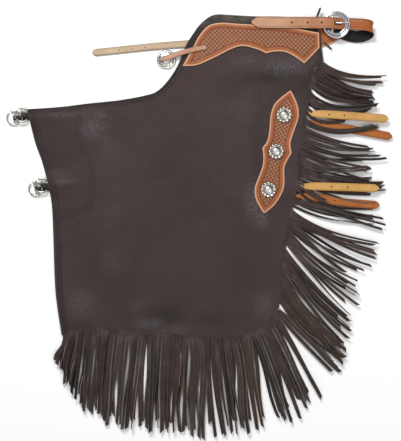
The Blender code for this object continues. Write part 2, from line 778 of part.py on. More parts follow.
def build_straps(grain, flesh, belt_leather, home, cutters):
    for name, route in LEG_STRAPS.items():
        leather = flesh if name.startswith("far") else grain
        strap = ribbon(name, route, LEG_STRAP_WIDTH, STRAP_THICK, leather, home, smooth=2)
        for number, (x, y) in enumerate(LEG_STRAP_HOLES[name]):
            boolean(strap, hole_cutter(f"{name}_hole_{number}", x, y, HOLE_DIAMETER, cutters))
    front = ribbon("far_front_strap", FRONT_STRAP, FRONT_STRAP_WIDTH, 2.2, flesh, home, smooth=2)
    for number, (x, y) in enumerate(FRONT_STRAP_HOLES):
        boolean(front, hole_cutter(f"front_strap_hole_{number}", x, y, 3.6, cutters))
    ribbon(
        "front_tie", FRONT_TIE, FRONT_TIE_WIDTH, FRONT_TIE_THICK, belt_leather, home, across=(0.25, 1, 0),
        tip=False, smooth=2,
    )
    belt = ribbon("back_strap", BELT, BELT_WIDTH, BELT_THICK, belt_leather, home, across=(0, 1, 0), smooth=1)
    for number, (x, y) in enumerate(BELT_HOLES):
        boolean(belt, hole_cutter(f"back_strap_hole_{number}", x, y, HOLE_DIAMETER, cutters))
    x, y, long, wide = TONGUE_SLOT
    corners = ((x - long / 2, y - wide / 2, 7), (x + long / 2, y + wide / 2, 30))
    boolean(belt, cutter("tongue_slot", corners, cutters))


def build_buckle(silver, belt_leather, home, cutters):
    x, y, z = RING_PLACE
    ring = turned("buckle_ring", RING_PROFILE, RING_STEPS, silver, home, ring=True)
    ring.location = Vector(RING_PLACE) * MM
    ring.rotation_euler = (0, -math.atan(RING_TILT), 0)
    bar_x, bar_z = x + BAR_X, z + BAR_X * RING_TILT - BAR_DROP
    bar_route = [(bar_x, y - BAR_REACH, bar_z), (bar_x, y + BAR_REACH, bar_z)]
    bar = wire("buckle_bar", bar_route, BAR_RADIUS, silver, cutters, sides=2)
    bar.hide_render = True
    bar.display_type = "WIRE"
    boolean(ring, bar, "UNION")

    tongue_y = y + TONGUE_OFFSET
    bend = BAR_RADIUS + GAP + CHAPE_THICK / 2
    route = [(run_x, y, run_z) for run_x, run_z in CHAPE_RUN]
    for turn in range(*CHAPE_TURN):
        angle = math.radians(turn)
        route.append((bar_x + bend * math.cos(angle), y, bar_z + bend * math.sin(angle)))
    chape = ribbon(
        "buckle_chape", route, CHAPE_WIDTH, CHAPE_THICK, belt_leather, home, across=(0, 1, 0), tip=False, smooth=1
    )
    slot = ((bar_x - 8, tongue_y - 2, 5), (bar_x + 8, tongue_y + 2, 30))
    boolean(chape, cutter("chape_slot", slot, cutters))

    hug = BAR_RADIUS + GAP + TONGUE_RADIUS
    route = []
    for turn in range(*TONGUE_TURN):
        angle = math.radians(turn)
        route.append((bar_x + hug * math.cos(angle), tongue_y, bar_z + hug * math.sin(angle)))
    route += [(run_x, tongue_y, run_z) for run_x, run_z in TONGUE_RUN]
    wire("buckle_tongue", route, TONGUE_RADIUS, silver, home, sides=1)


def build_snaps(silver, leather, home, cutters):
    for name, x, y, level, tail_level, tail_end in SNAPS:
        arms = []
        for number, (start, end) in enumerate(SNAP_ARMS):
            route = arc_points((x, y), SNAP_RADIUS, start, end, level, 7)
            where = home if number == 0 else cutters
            label = name if number == 0 else f"{name}_arm"
            arms.append(wire(label, route, SNAP_WIRE, silver, where))
        reach = math.sqrt(SNAP_RADIUS**2 - SNAP_BAR_X**2)
        bar_x = x + SNAP_BAR_X
        bar = wire(
            f"{name}_bar", [(bar_x, y - reach, level), (bar_x, y + reach, level)], SNAP_WIRE * 0.8, silver, cutters
        )
        for helper in (bar, arms[1]):
            helper.hide_render = True
            helper.display_type = "WIRE"
            boolean(arms[0], helper, "UNION")
        start, end = SNAP_GATE
        wire(f"{name}_gate", arc_points((x, y), SNAP_RADIUS, start, end, level, 6), SNAP_WIRE, silver, home)

        bend = SNAP_WIRE * 0.8 + GAP + TAB_THICK / 2
        route = [(tail_end, y, tail_level), (x + 26, y, tail_level), (x + 14, y, tail_level)]
        for turn in range(-90, -271, -30):
            angle = math.radians(turn)
            route.append((bar_x + bend * math.cos(angle), y, level + bend * math.sin(angle)))
        route.append((x + 10, y, max(level + bend - 0.8, tail_level + 2.2)))
        ribbon(
            f"{name}_tab", route, TAB_WIDTH, TAB_THICK, leather, home, across=(0, 1, 0), tip=False, smooth=1
        )


def main():
    clear_scene()
    home = new_collection("leather_chaps")
    cutters = new_collection("cutters", shown=False)
    leather = new_material("dark_leather", (0.060, 0.040, 0.040), 0.55)
    tooled = new_material("tooled_leather", (0.46, 0.20, 0.09), 0.5)
    grain = new_material("strap_grain", (0.48, 0.17, 0.05), 0.45)
    flesh = new_material("strap_flesh", (0.62, 0.38, 0.15), 0.8)
    belt_leather = new_material("belt_leather", (0.52, 0.27, 0.12), 0.5)
    silver = new_material("silver", (0.75, 0.74, 0.72), 0.2, 1.0)

    near = build_legs(leather, home)
    build_fringes(leather, home)
    plate = build_overlays(near, tooled, leather, home)
    build_conchos(plate, silver, home, cutters)
    build_straps(grain, flesh, belt_leather, home, cutters)
    build_buckle(silver, belt_leather, home, cutters)
    build_snaps(silver, leather, home, cutters)
    for name, (route, width) in LACES.items():
        ribbon(name, route, width, LACE_THICK, leather, home, smooth=1)
    for thing in bpy.data.objects:
        thing.location += Vector(CENTRE_SHIFT) * MM


main()
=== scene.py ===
"""Looks of the short fringed leather chaps, laid flat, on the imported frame.

Tables hold millimetres in the same layout as the part's source; meshes are in metres.
"""

import math
import random

import bmesh
import bpy
import numpy as np
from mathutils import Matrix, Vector


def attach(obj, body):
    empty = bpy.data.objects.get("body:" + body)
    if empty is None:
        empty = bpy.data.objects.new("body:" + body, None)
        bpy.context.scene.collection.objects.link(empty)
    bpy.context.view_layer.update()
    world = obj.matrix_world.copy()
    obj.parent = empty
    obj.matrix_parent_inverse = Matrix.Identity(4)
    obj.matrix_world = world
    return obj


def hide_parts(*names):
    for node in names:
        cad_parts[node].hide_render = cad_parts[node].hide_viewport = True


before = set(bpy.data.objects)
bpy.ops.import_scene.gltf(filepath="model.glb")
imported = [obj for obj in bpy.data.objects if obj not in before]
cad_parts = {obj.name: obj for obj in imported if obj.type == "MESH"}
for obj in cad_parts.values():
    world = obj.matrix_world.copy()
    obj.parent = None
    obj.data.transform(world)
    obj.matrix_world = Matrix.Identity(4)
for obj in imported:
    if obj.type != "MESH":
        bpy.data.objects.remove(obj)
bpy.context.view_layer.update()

MM = 0.001
ROOT = "chaps"
CENTRE_SHIFT = (1.5, 2.0, 0.0)

# Leather weights and layers
LEG_THICK = 1.8
YOKE_THICK = 2.6
FAR_YOKE_THICK = 2.4
PATCH_THICK = 1.2
PLATE_THICK = 2.2
BELT_THICK, BELT_WIDTH = 2.8, 25.4
STRAP_THICK, LEG_STRAP_WIDTH = 2.4, 18.0
FRONT_STRAP_THICK, FRONT_STRAP_WIDTH = 2.2, 15.5
STRING_THICK = 1.4
FAR_LIFT = 2.7
NEAR_FLOOR = 2.3
RAMP_START, RAMP_END = 255.0, 348.0
TABLE_GAP = 0.05  # Between the underside and the floor
OVERLAY_LIFT = 0.15  # Between the near leg and what is sewn on it
RIM_SHARE = 0.35
OUTLINE_STEPS = 160
CREASE_WAVE = 3.0

# Leg outlines, columns x, y, corner (1 where the edge turns sharply)
NEAR_TOP = [
    (-378, 243), (-308, 251), (-242, 256), (-176, 263), (-117, 275), (-88, 287), (-64, 309), (-44, 340),
    (-30, 367), (-15, 392), (0, 414), (18, 433), (48, 441), (79, 439), (112, 437), (187, 432), (264, 419),
]
NEAR_RIGHT = [
    (264, 419), (267, 384), (271, 354, 1), (251, 336), (243, 305), (235, 272), (228, 230), (224, 182),
    (215, 142), (212, 102), (205, 58), (194, 12), (186, -34), (178, -120), (174, -186),
]
NEAR_HEM = [
    (-304, -248), (-275, -235), (-246, -229), (-209, -232), (-154, -239), (-99, -244), (-44, -246),
    (13, -251), (84, -248), (123, -237), (154, -217), (174, -186),
]
NEAR_LEFT = [
    (-378, 243), (-363, 179), (-349, 140), (-338, 102), (-330, 67), (-324, 16), (-319, -127), (-314, -182),
    (-304, -248),
]
FAR_TOP = [
    (-381, 249), (-308, 254), (-242, 262), (-176, 269), (-117, 280), (-92, 290), (-67, 316), (-47, 349),
    (-29, 392), (-14, 416), (0, 435), (18, 450), (37, 457), (81, 455), (119, 453), (198, 451), (258, 437),
]
FAR_INSET = 6.0

# Yokes, columns x, y, corner (1 where the edge turns sharply)
YOKE_TOP = [
    (-13, 388), (-4, 406), (10, 424), (24, 434), (48, 438), (79, 436), (112, 434), (187, 429), (261, 416),
]
YOKE_LOW = [
    (-38, 343), (-8, 345), (30, 361), (70, 381), (95, 387), (125, 380), (145, 371, 1), (163, 375),
    (186, 374), (206, 365), (229, 349, 1), (241, 361), (262, 383),
]
FAR_YOKE_TOP = [
    (-26, 386), (-12, 412), (2, 432), (20, 446), (37, 453), (81, 451), (119, 449), (198, 447), (256, 434),
    (303, 424),
]
FAR_YOKE_LOW = [
    (-41, 354), (0, 357), (60, 384), (98, 394), (163, 384), (200, 378), (229, 362), (263, 383), (286, 391),
    (312, 405),
]

# Side plate, columns x, y, corner
PLATE_LEFT = [
    (197, 289), (176, 273), (162, 257), (155, 234), (152, 200), (147, 178), (137, 164, 1), (139, 146),
    (138, 127), (131, 106), (122, 83), (120, 67), (124, 47), (139, 21),
]
PLATE_RIGHT = [
    (200, 289), (208, 273), (215, 253), (216, 230), (208, 205), (199, 178), (199, 164), (201, 152, 1),
    (190, 133), (185, 117), (185, 83), (178, 61), (163, 38), (143, 21),
]

# Thigh patch, columns x, y, corner
THIGH_TOP = [(-372, 239), (-317, 244), (-260, 245)]
THIGH_RIGHT = [
    (-260, 245), (-264, 206), (-255, 178), (-249, 155, 1), (-238, 143), (-233, 105), (-231, 65),
    (-239, 35), (-255, 23),
]
THIGH_LOW = [(-319, 1), (-301, 8), (-282, 13), (-255, 23)]
THIGH_LEFT = [(-372, 239), (-359, 182), (-344, 140), (-333, 100), (-326, 67), (-319, 1)]

# Soft rises of the near leg over what lies under it, columns x, y, reach x, reach y, height
RISES = [
    (232, 240, 48, 62, 5.0), (210, 70, 48, 55, 5.0), (218, 150, 46, 72, 4.0), (-372, 238, 60, 45, 5.2),
    (-315, 84, 62, 38, 5.2), (-132, -208, 44, 52, 5.0), (110, 38, 70, 90, 2.2), (-242, 200, 70, 55, 1.8),
    (-253, -12, 60, 75, 2.0), (205, 314, 46, 34, 3.0), (-20, -120, 150, 60, 1.6), (-130, 60, 70, 150, 1.4),
]
# Creases of the near leg, columns x and y of both ends, half width, height
CREASES = [
    (-300, 236, -180, 245, 7, 1.0), (-150, 262, -95, 285, 9, 0.9), (-60, 300, -20, 352, 12, 0.8),
    (140, 352, 228, 326, 10, 1.5), (150, 338, 238, 300, 12, -1.6), (190, 316, 240, 268, 9, 1.2),
    (20, 330, 120, 318, 22, 0.7), (-118, 210, -70, 40, 26, 0.8), (-20, 150, 10, -40, 30, 0.7),
    (80, 250, 110, 90, 24, 0.8), (-170, -60, -150, -200, 16, 0.9), (-105, -150, -100, -215, 12, -1.2),
    (-66, -176, -62, -236, 9, 1.4), (-150, -190, -146, -236, 8, 1.2), (-206, -186, -200, -226, 8, 1.1),
    (-20, -196, -16, -240, 10, 1.0), (40, -110, 60, -225, 16, 1.1), (98, -186, 104, -238, 8, 1.2),
    (-262, -120, -246, -215, 14, 0.8), (130, -60, 150, -170, 15, 0.7), (-318, 82, -284, 83, 4.5, 1.8),
]

# Worn, shiny places of the near leg, which are also painted lighter as a painted highlight, columns x, y, reach x,
# reach y, share
SHINE_AND_HIGHLIGHT = [
    (-236, 206, 26, 22, 0.85), (-205, 170, 16, 30, 0.25), (186, 342, 44, 18, 1.0), (100, 356, 30, 12, 0.5),
    (118, 44, 18, 42, 0.9), (134, 6, 16, 20, 0.9), (-110, -222, 36, 14, 0.7), (-60, -236, 40, 14, 0.5),
    (140, -180, 24, 30, 0.5), (-262, -176, 34, 34, 0.5), (-190, -90, 30, 40, 0.25),
    (-300, 236, 60, 6, 0.5), (-222, 236, 18, 8, 0.7), (-296, 90, 22, 5, 0.6), (100, 250, 30, 30, 0.2),
]
# Darker places of the near leg, painted shade along folds and creases and a darker tone elsewhere, columns x, y,
# reach x, reach y, share
SHADES = [
    (160, 318, 66, 12, 0.8), (232, 290, 12, 40, 0.6), (-76, -205, 46, 26, 0.7), (30, -212, 60, 18, 0.4),
    (-262, -226, 30, 14, 0.5), (128, 150, 16, 90, 0.35), (-60, 120, 90, 120, 0.25),
    (-180, -130, 60, 60, 0.3), (96, -90, 70, 70, 0.3), (-326, 165, 64, 90, 0.42), (-290, 50, 60, 60, 0.2),
]
# Locks of strings, columns first and last root (y on the side, x on the hem), strings, heading of the
# first and last string at the root, the same at the tip, length of the first and last, share of flesh
# side up, layer where it isn't the fringe's own
SIDE_LOCKS = [
    (352, 343, 4, -50, -52, 4, -1, 148, 138, 1.0),
    (341, 300, 9, -58, -50, -13, -2, 134, 152, 0.12),
    (284, 268, 4, -57, -50, 9, 13, 160, 158, 0.1),
    (250, 240, 2, -60, -56, 5, 6, 110, 96, 0.1),
    (226, 217, 3, -40, -38, 9, 12, 158, 166, 0.1),
    (207, 186, 4, -42, -36, -6, 0, 156, 172, 0.3),
    (181, 173, 2, -42, -40, 1, 3, 186, 190, 0.0),
    (168, 150, 3, -30, -36, -13, -11, 160, 165, 0.3),
    (146, 134, 3, -50, -48, 8, 11, 156, 160, 0.0),
    (128, 100, 5, -46, -40, 1, 5, 194, 206, 0.3, 2.6),
    (92, 76, 3, -56, -52, -22, -20, 78, 96, 0.1),
    (52, 44, 3, -14, -14, -14, -18, 206, 203, 0.0),
    (27, 12, 5, -42, -40, -12, -18, 216, 212, 0.5),
    (9, 8, 1, -38, -38, -18, -18, 135, 135, 0.0),
    (6, 2, 2, -54, -52, -22, -25, 211, 205, 0.0),
    (-1, -5, 2, -52, -52, -35, -36, 167, 160, 0.0),
    (-14, -36, 6, -58, -58, -29, -33, 205, 214, 0.6),
    (-44, -45, 1, -60, -60, -45, -45, 228, 228, 0.0),
    (-62, -92, 5, -62, -62, -39, -43, 200, 220, 0.3),
    (-99, -142, 7, -64, -62, -48, -46, 222, 214, 0.3),
    (-150, -177, 4, -60, -58, -42, -38, 205, 190, 0.4),
]
HEM_LOCKS = [
    (-304, -289, 3, -114, -108, -103, -103, 60, 84, 0.2),
    (-283, -270, 3, -106, -102, -97, -96, 122, 118, 0.1),
    (-263, -232, 5, -100, -98, -97, -96, 150, 184, 0.2),
    (-224, -181, 6, -96, -95, -95, -94, 190, 204, 0.4),
    (-173, -130, 6, -98, -97, -97, -95, 207, 212, 0.0),
    (-122, -60, 8, -92, -91, -91, -90, 211, 216, 0.2),
    (-52, 10, 8, -90, -90, -90, -89, 216, 218, 0.2),
    (18, 80, 8, -85, -83, -85, -82, 214, 214, 0.1),
    (86, 108, 4, -82, -80, -83, -81, 206, 204, 1.0),
    (111, 125, 4, -70, -66, -70, -71, 206, 208, 0.0),
    (129, 142, 4, -66, -62, -71, -71, 212, 212, 0.2),
    (146, 156, 4, -58, -56, -68, -70, 206, 200, 0.2),
    (158, 164, 3, -52, -50, -64, -66, 178, 206, 0.9),
    (167, 173, 3, -48, -46, -46, -43, 178, 188, 0.6),
]
FAR_SIDE_LOCKS = [
    (350, 304, 9, -60, -52, -16, -4, 140, 146, 0.5),
    (276, 264, 3, -56, -50, 10, 12, 150, 150, 0.5),
    (205, 150, 5, -40, -40, -8, 4, 150, 160, 0.5),
    (140, 40, 11, -46, -30, 0, -8, 170, 190, 0.4),
    (24, -4, 3, -44, -50, -20, -28, 190, 190, 0.6),
    (-16, -36, 3, -58, -60, -33, -38, 190, 196, 0.6),
    (-66, -172, 10, -62, -60, -44, -44, 200, 190, 0.6),
]
FAR_HEM_LOCKS = [
    (-296, -236, 7, -104, -98, -98, -96, 84, 170, 0.5),
    (-228, -20, 22, -95, -91, -95, -90, 186, 208, 0.6),
    (-12, 108, 12, -88, -82, -88, -82, 206, 196, 0.6),
    (116, 156, 5, -70, -60, -72, -68, 196, 186, 0.6),
]

# Fringes, columns name, lowest layer, string width, seed, gap to the leg
FRINGES = {
    "near_side": ("near_side_fringe", 6.4, 6.4, 11, 0.05),
    "near_hem": ("near_hem_fringe", 3.6, 9.0, 12, 0.05),
    "far_side": ("far_side_fringe", 0.3, 6.6, 13, 1.3),
    "far_hem": ("far_hem_fringe", 0.3, 9.4, 14, 1.8),
}
LAYER_STEP = 1.35
LOW_SIDE, LOW_SIDE_WIDER = -60.0, 1.25  # Side strings below this Y are cut wider
ROOT_STEPS = 400
FRINGE_STRIP = 5.0
STRIP_STEPS = 90
STRING_FLAT, STRING_RISE = 8.0, 22.0
STRING_STATIONS = 13
# A string's section, columns across, up, mark of the cut edge
STRING_SECTION = [
    (-1.0, 0.25, 1.0), (-0.84, 0.75, 0.3), (-0.45, 1.1, 0.0), (0.45, 1.1, 0.0), (0.84, 0.75, 0.3),
    (1.0, 0.25, 1.0), (0.8, 0.0, 0.6), (-0.8, 0.0, 0.6),
]

# Straps, columns x, y, z of the middle of the leather, from the sewn end to the tip
LEG_STRAPS = {
    "far_strap_upper": [
        (220, 240, 3.5), (230, 239.6, 3.5), (246, 238.6, 7.0), (266, 237.5, 12.4), (320, 234, 13.0),
        (413, 227, 10.6),
    ],
    "near_strap_upper": [
        (220, 221.5, 3.5), (232, 221, 3.5), (248, 219.5, 4.9), (266, 216.5, 4.9), (292, 210.5, 4.9),
        (334, 204, 4.9), (422, 188, 4.9),
    ],
    "far_strap_lower": [
        (202, 79, 3.5), (212, 79.3, 3.5), (228, 79.6, 7.0), (248, 79.4, 12.4), (300, 78, 13.0),
        (392, 75, 10.6),
    ],
    "near_strap_lower": [
        (196, 58.5, 3.5), (206, 58.5, 3.5), (222, 58, 4.9), (255, 55.5, 4.9), (291, 48.5, 4.9),
        (330, 43, 4.9), (394, 38, 4.9),
    ],
}
LEG_STRAP_HOLES = {
    "far_strap_upper": [(283, 236.5), (316, 234.3), (350, 231.6)],
    "near_strap_upper": [(264, 217), (359, 199.5)],
    "far_strap_lower": [(288, 78.3), (323, 77.3)],
    "near_strap_lower": [(255, 55.5), (295, 48)],
}
FRONT_STRAP = [
    (-19, 393.3, 1.4), (-32, 392.5, 1.4), (-77, 389, 1.4), (-121, 385, 1.4), (-178, 379, 1.4),
    (-237, 373, 1.4),
]
FRONT_STRAP_HOLES = [(-178, 379), (-150, 382), (-121, 385)]
BELT = [
    (296, 421, 4.4), (310, 416, 4.2), (319, 413, 3.4), (329, 410, 2.4), (343, 408, 2.4), (356, 409, 2.9),
    (365, 412, 4.0), (371, 415.5, 6.2), (375, 419, 9.4), (376.5, 423, 13.4), (375, 426.5, 17.8),
    (371, 429, 20.8), (364, 431, 21.8), (352, 432.5, 19.6), (340, 434, 15.2), (328, 435, 11.6),
    (318, 435.3, 10.6), (308, 435.5, 11.6), (299, 435.7, 15.0), (291, 436, 18.4), (284, 436.5, 18.9),
    (274, 437, 17.4), (262, 437.5, 14.0), (250, 437.5, 13.1), (234, 437.5, 12.9), (222, 437.8, 11.6),
    (170, 438, 11.5), (113, 439.5, 11.5),
]
BELT_HOLES = [(201, 438), (236, 437.5), (267, 437.4)]
HOLE_DIAMETER, LEG_STRAP_HOLE, FRONT_STRAP_HOLE = 4.4, 3.6, 3.2
HOLE_SIDES = 12
# Stations of a rounded tip, in strap widths from its end
TIP_STATIONS = (0.7, 0.6, 0.5, 0.4, 0.3, 0.2, 0.12, 0.05, 0.0)

# Buckle
RING_PLACE = (299, 433, 14.3)
RING_TILT = 0.05
RING_PROFILE = [
    (29.2, -1.3), (29.8, -0.6), (29.8, 0.3), (29.2, 1.3), (28.2, 1.8), (27.0, 1.8), (26.0, 1.3),
    (25.4, 0.6), (24.8, 0.3), (22.5, -0.1), (20.0, -0.5), (18.8, -0.6), (18.2, -0.9), (18.4, -1.3),
    (20.0, -1.5), (25.0, -1.5),
]
BAR_X, BAR_DROP, BAR_REACH, BAR_RADIUS = -9.0, 0.3, 18.6, 1.6
BAR_GAP = 0.3
CHAPE_WIDTH, CHAPE_THICK = 16.0, 1.2
CHAPE_RUN = [(236, 10.7), (258, 10.7), (274, 10.7)]
CHAPE_TURN = (-90, 171, 13)
TONGUE_RADIUS, TONGUE_OFFSET = 1.3, 4.0
TONGUE_TURN = (170, 331, 16)
TONGUE_RUN = [(298, 14.4), (305, 16.6), (313, 18.2), (322, 18.6)]
TONGUE_SLOT = (301, 437, 14, 5)

# Conchos
CONCHOS = [(184, 236, 8.26), (167, 156, 8.86), (150, 72, 8.48)]
CONCHO_RADIUS, CONCHO_BEADS = 16.8, 12
FRONT_CONCHO = (-74, 358)
FRONT_PROFILE = [
    (0, 5.6), (2.0, 5.55), (4.0, 5.4), (6.0, 5.2), (8.0, 4.95), (9.5, 4.7), (11.0, 4.4), (12.5, 4.0),
    (14.0, 3.6), (15.2, 3.3), (16.0, 3.0), (16.6, 2.4), (17.2, 2.9), (18.2, 3.1), (19.2, 3.0), (20.0, 2.4),
    (20.8, 1.9), (21.6, 1.2), (22.0, 0.5), (22.0, 0.0),
]
FRONT_SLOT = (7.5, 14.0)
FRONT_SLOT_OUT = 10.2
FRONT_TIE = [
    (13, 384, 11.1), (-5, 381, 11.1), (-22, 377, 10.9), (-38, 373, 9.0), (-52, 368.5, 7.2),
    (-64, 364, 7.4), (-74, 361, 7.7), (-81, 359.8, 7.0), (-84.4, 359.2, 4.8), (-85.2, 359, 1.8),
]
FRONT_TIE_WIDTH, FRONT_TIE_THICK = 11.0, 2.0

# Snaps, columns name, x, y, height of the wire's middle, height of the tab's tail, end of the tail
SNAPS = [
    ("near_snap_upper", -391, 236, 8.4, 4.35, -355),
    ("far_snap_upper", -409, 230, 3.4, 2.75, -355),
    ("near_snap_lower", -348, 81, 8.4, 4.35, -302),
    ("far_snap_lower", -361, 74, 3.4, 2.75, -306),
]
SNAP_RADIUS, SNAP_WIRE, SNAP_BAR_X = 15.0, 1.5, 1.0
SNAP_LOOK = 2.0
SNAP_ARMS = [(35, 119), (218, 325)]
SNAP_GATE = (133, 214)
TAB_WIDTH, TAB_THICK = 10.0, 1.3
LACES = {
    "lace_end_upper": ([(256, 447.5, 10.9), (258, 455, 10.9), (264, 471, 10.9)], 5.0),
    "lace_end_lower": ([(272, 396, 3.7), (280, 388.5, 3.7), (290, 380.5, 3.4)], 4.0),
}
LACE_THICK = 1.4

# Stitches and tooling
THIGH_STITCHES = (4.0, 10.0)
TOOLED_STITCH = 3.4
WEAVE_PITCH = 6.6

# Camera
SENSOR, LENS = 36.0, 100.0
VIEW_TALL = 441 * 2.2
CAMERA_X, CAMERA_Y = 2.6, 6.4


def smooth_step(t):
    t = np.clip(t, 0.0, 1.0)
    return t * t * (3.0 - 2.0 * t)


def ridge(far, centre, wide):
    """Share from 0 to 1 of a soft ridge at a distance."""
    return np.exp(-(((far - centre) / wide) ** 2))


def far_floor(x, y):
    return FAR_LIFT * smooth_step((y - RAMP_START) / (RAMP_END - RAMP_START)) + 0 * x


def near_floor(x, y):
    height = far_floor(x, y) + NEAR_FLOOR
    for cx, cy, rx, ry, rise in RISES:
        far = np.clip(1.0 - ((x - cx) / rx) ** 2 - ((y - cy) / ry) ** 2, 0.0, 1.0)
        height = height + rise * far**2
    return height


def strongest(x, y, places, fall):
    """The largest share that any of the places has at each point."""
    most = 0 * x
    for cx, cy, rx, ry, share in places:
        most = np.maximum(most, share * np.exp(-(((x - cx) / rx) ** 2 + ((y - cy) / ry) ** 2) * fall))
    return most


def worn_shine_and_highlight(x, y):
    return np.clip(strongest(x, y, SHINE_AND_HIGHLIGHT, 1.5), 0, 1)


def creases(x, y):
    height = 0 * x
    for x0, y0, x1, y1, wide, rise in CREASES:
        long = math.hypot(x1 - x0, y1 - y0)
        ux, uy = (x1 - x0) / long, (y1 - y0) / long
        along = ((x - x0) * ux + (y - y0) * uy) / long
        off = (x - x0) * -uy + (y - y0) * ux + CREASE_WAVE * np.sin(along * 5.0 + x0 * 0.1)
        ends = smooth_step((along + 0.15) / 0.4) * smooth_step((1.15 - along) / 0.4)
        height = height + rise * ridge(off, 0.0, wide) * ends
    return height


def near_face(x, y):
    """Upper face of the near leg."""
    return near_floor(x, y) + creases(x, y) + LEG_THICK


def spline_points(points, per_span=12):
    """Catmull-Rom curve through the points."""
    ends = [2 * points[0] - points[1], *points, 2 * points[-1] - points[-2]]
    made = []
    for i in range(1, len(ends) - 2):
        a, b, c, d = ends[i - 1 : i + 3]
        for step in range(per_span):
            t = step / per_span
            bend, twist = 2 * a - 5 * b + 4 * c - d, 3 * b - a - 3 * c + d
            made.append(0.5 * (2 * b + (c - a) * t + bend * t**2 + twist * t**3))
    made.append(points[-1])
    return made


def run_lengths(line):
    return np.concatenate([[0.0], np.cumsum(np.linalg.norm(np.diff(line, axis=0), axis=1))])


def spaced(points, cells):
    """The line cut into equal lengths."""
    line = np.array([tuple(p) for p in points], float)
    lengths = run_lengths(line)
    want = np.linspace(0.0, lengths[-1], cells + 1)
    return [Vector(np.array([np.interp(w, lengths, line[:, k]) for k in range(line.shape[1])])) for w in want]


def edge_line(rows, cells):
    """Points along an edge in equal steps, keeping each marked corner."""
    spans, span = [], []
    for i, row in enumerate(rows):
        span.append(Vector(row[:2]))
        if i and (i == len(rows) - 1 or len(row) > 2):
            spans.append(spline_points(span) if len(span) > 2 else span)
            span = [Vector(row[:2])]
    lengths = [sum((b - a).length for a, b in zip(s, s[1:])) for s in spans]
    counts = [max(1, round(cells * length / sum(lengths))) for length in lengths]
    counts[counts.index(max(counts))] += cells - sum(counts)
    made = []
    for s, count in zip(spans, counts):
        made += spaced(s, count)[: -1 if s is not spans[-1] else None]
    return made


def edge_arrays(edges, counts):
    return [np.array([tuple(p) for p in edge_line(edge, count)]) for edge, count in zip(edges, counts)]


def coons_grid(edges, cells):
    """Array of plan points between four edges, rows downward, columns along X."""
    across, down = cells
    top, low, left, right = edge_arrays(edges, (across, across, down, down))
    v = np.linspace(0, 1, down + 1)[:, None, None]
    u = np.linspace(0, 1, across + 1)[None, :, None]
    along = top[None] * (1 - v) + low[None] * v + left[:, None] * (1 - u) + right[:, None] * u
    corners = (top[0] * (1 - u) + top[-1] * u) * (1 - v) + (low[0] * (1 - u) + low[-1] * u) * v
    return along - corners


def outline_of(edges):
    """The closed outline of a piece as an array of points."""
    top, low, left, right = edge_arrays(edges, [OUTLINE_STEPS] * 4)
    return np.concatenate([top, right, low[::-1], left[::-1]])


def distance_to(plan, outline):
    """Distance of each plan point from the outline."""
    flat = plan.reshape(-1, 2)
    best = np.full(len(flat), 1e9)
    for p, q in zip(outline, np.roll(outline, -1, axis=0)):
        span = q - p
        size = float(span @ span)
        if size < 1e-9:
            continue
        t = np.clip(((flat - p) @ span) / size, 0, 1)
        best = np.minimum(best, np.linalg.norm(flat - p - t[:, None] * span, axis=1))
    return best.reshape(plan.shape[:2])


def mesh_piece(name, points, faces, material, node=None, body=ROOT, paint=None, sharp=40):
    """A piece from points in millimetres; paint gives red, green and blue values for each point."""
    mesh = bpy.data.meshes.new(name)
    mesh.from_pydata(((np.array(points, float) + np.array(CENTRE_SHIFT)) * MM).tolist(), [], faces)
    if paint is not None:
        layer = mesh.color_attributes.new("paint", "FLOAT_COLOR", "POINT")
        values = np.ones((len(points), 4), np.float32)
        values[:, :3] = paint
        layer.data.foreach_set("color", values.ravel())
    shape = bmesh.new()
    shape.from_mesh(mesh)
    bmesh.ops.recalc_face_normals(shape, faces=shape.faces)
    shape.to_mesh(mesh)
    shape.free()
    mesh.shade_smooth()
    mesh.set_sharp_from_angle(angle=math.radians(sharp))
    mesh.materials.append(material)
    made = bpy.data.objects.new(name, mesh)
    bpy.context.scene.collection.objects.link(made)
    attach(made, body)
    if node:
        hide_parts(node)
    return made


def tube(points, faces, rings):
    """Adds a closed tube through rings of points."""
    size, first = len(rings[0]), len(points)
    ends = [tuple(range(first + at, first + at + size)) for at in (0, size * (len(rings) - 1))]
    for ring in rings:
        points += ring
    faces.append(ends[0])
    for at in range(first, first + size * (len(rings) - 1), size):
        for k in range(size):
            n = (k + 1) % size
            faces.append((at + k, at + n, at + size + n, at + size + k))
    faces.append(ends[1])


def grid_shell(node, plan, low, high, material, paint=None):
    """A closed leather wall over a plan grid, with its upper edge rounded."""
    rows, cols = plan.shape[:2]
    top = np.concatenate([plan, high[..., None]], axis=2).reshape(-1, 3)
    under = np.concatenate([plan, low[..., None]], axis=2).reshape(-1, 3)
    index = np.arange(rows * cols).reshape(rows, cols)
    quads = np.stack([index[:-1, :-1], index[1:, :-1], index[1:, 1:], index[:-1, 1:]], axis=-1).reshape(-1, 4)
    faces = quads.tolist() + (quads[:, ::-1] + rows * cols).tolist()
    ring = np.concatenate([index[0, :], index[1:, -1], index[-1, -2::-1], index[-2:0:-1, 0]])
    middle = (top[ring] * (1 - RIM_SHARE) + under[ring] * RIM_SHARE).tolist()
    base, count = 2 * rows * cols, len(ring)
    for k in range(count):
        n = (k + 1) % count
        faces.append((int(ring[k]), int(ring[n]), base + n, base + k))
        faces.append((base + k, base + n, int(ring[n]) + rows * cols, int(ring[k]) + rows * cols))
    if paint is not None:
        flat = paint.reshape(-1, 3)
        paint = np.concatenate([flat, flat * 0, flat[ring]])
    points = np.concatenate([top, under, middle])
    return mesh_piece(f"{node}_skin", points, faces, material, node, paint=paint, sharp=50)


# Materials


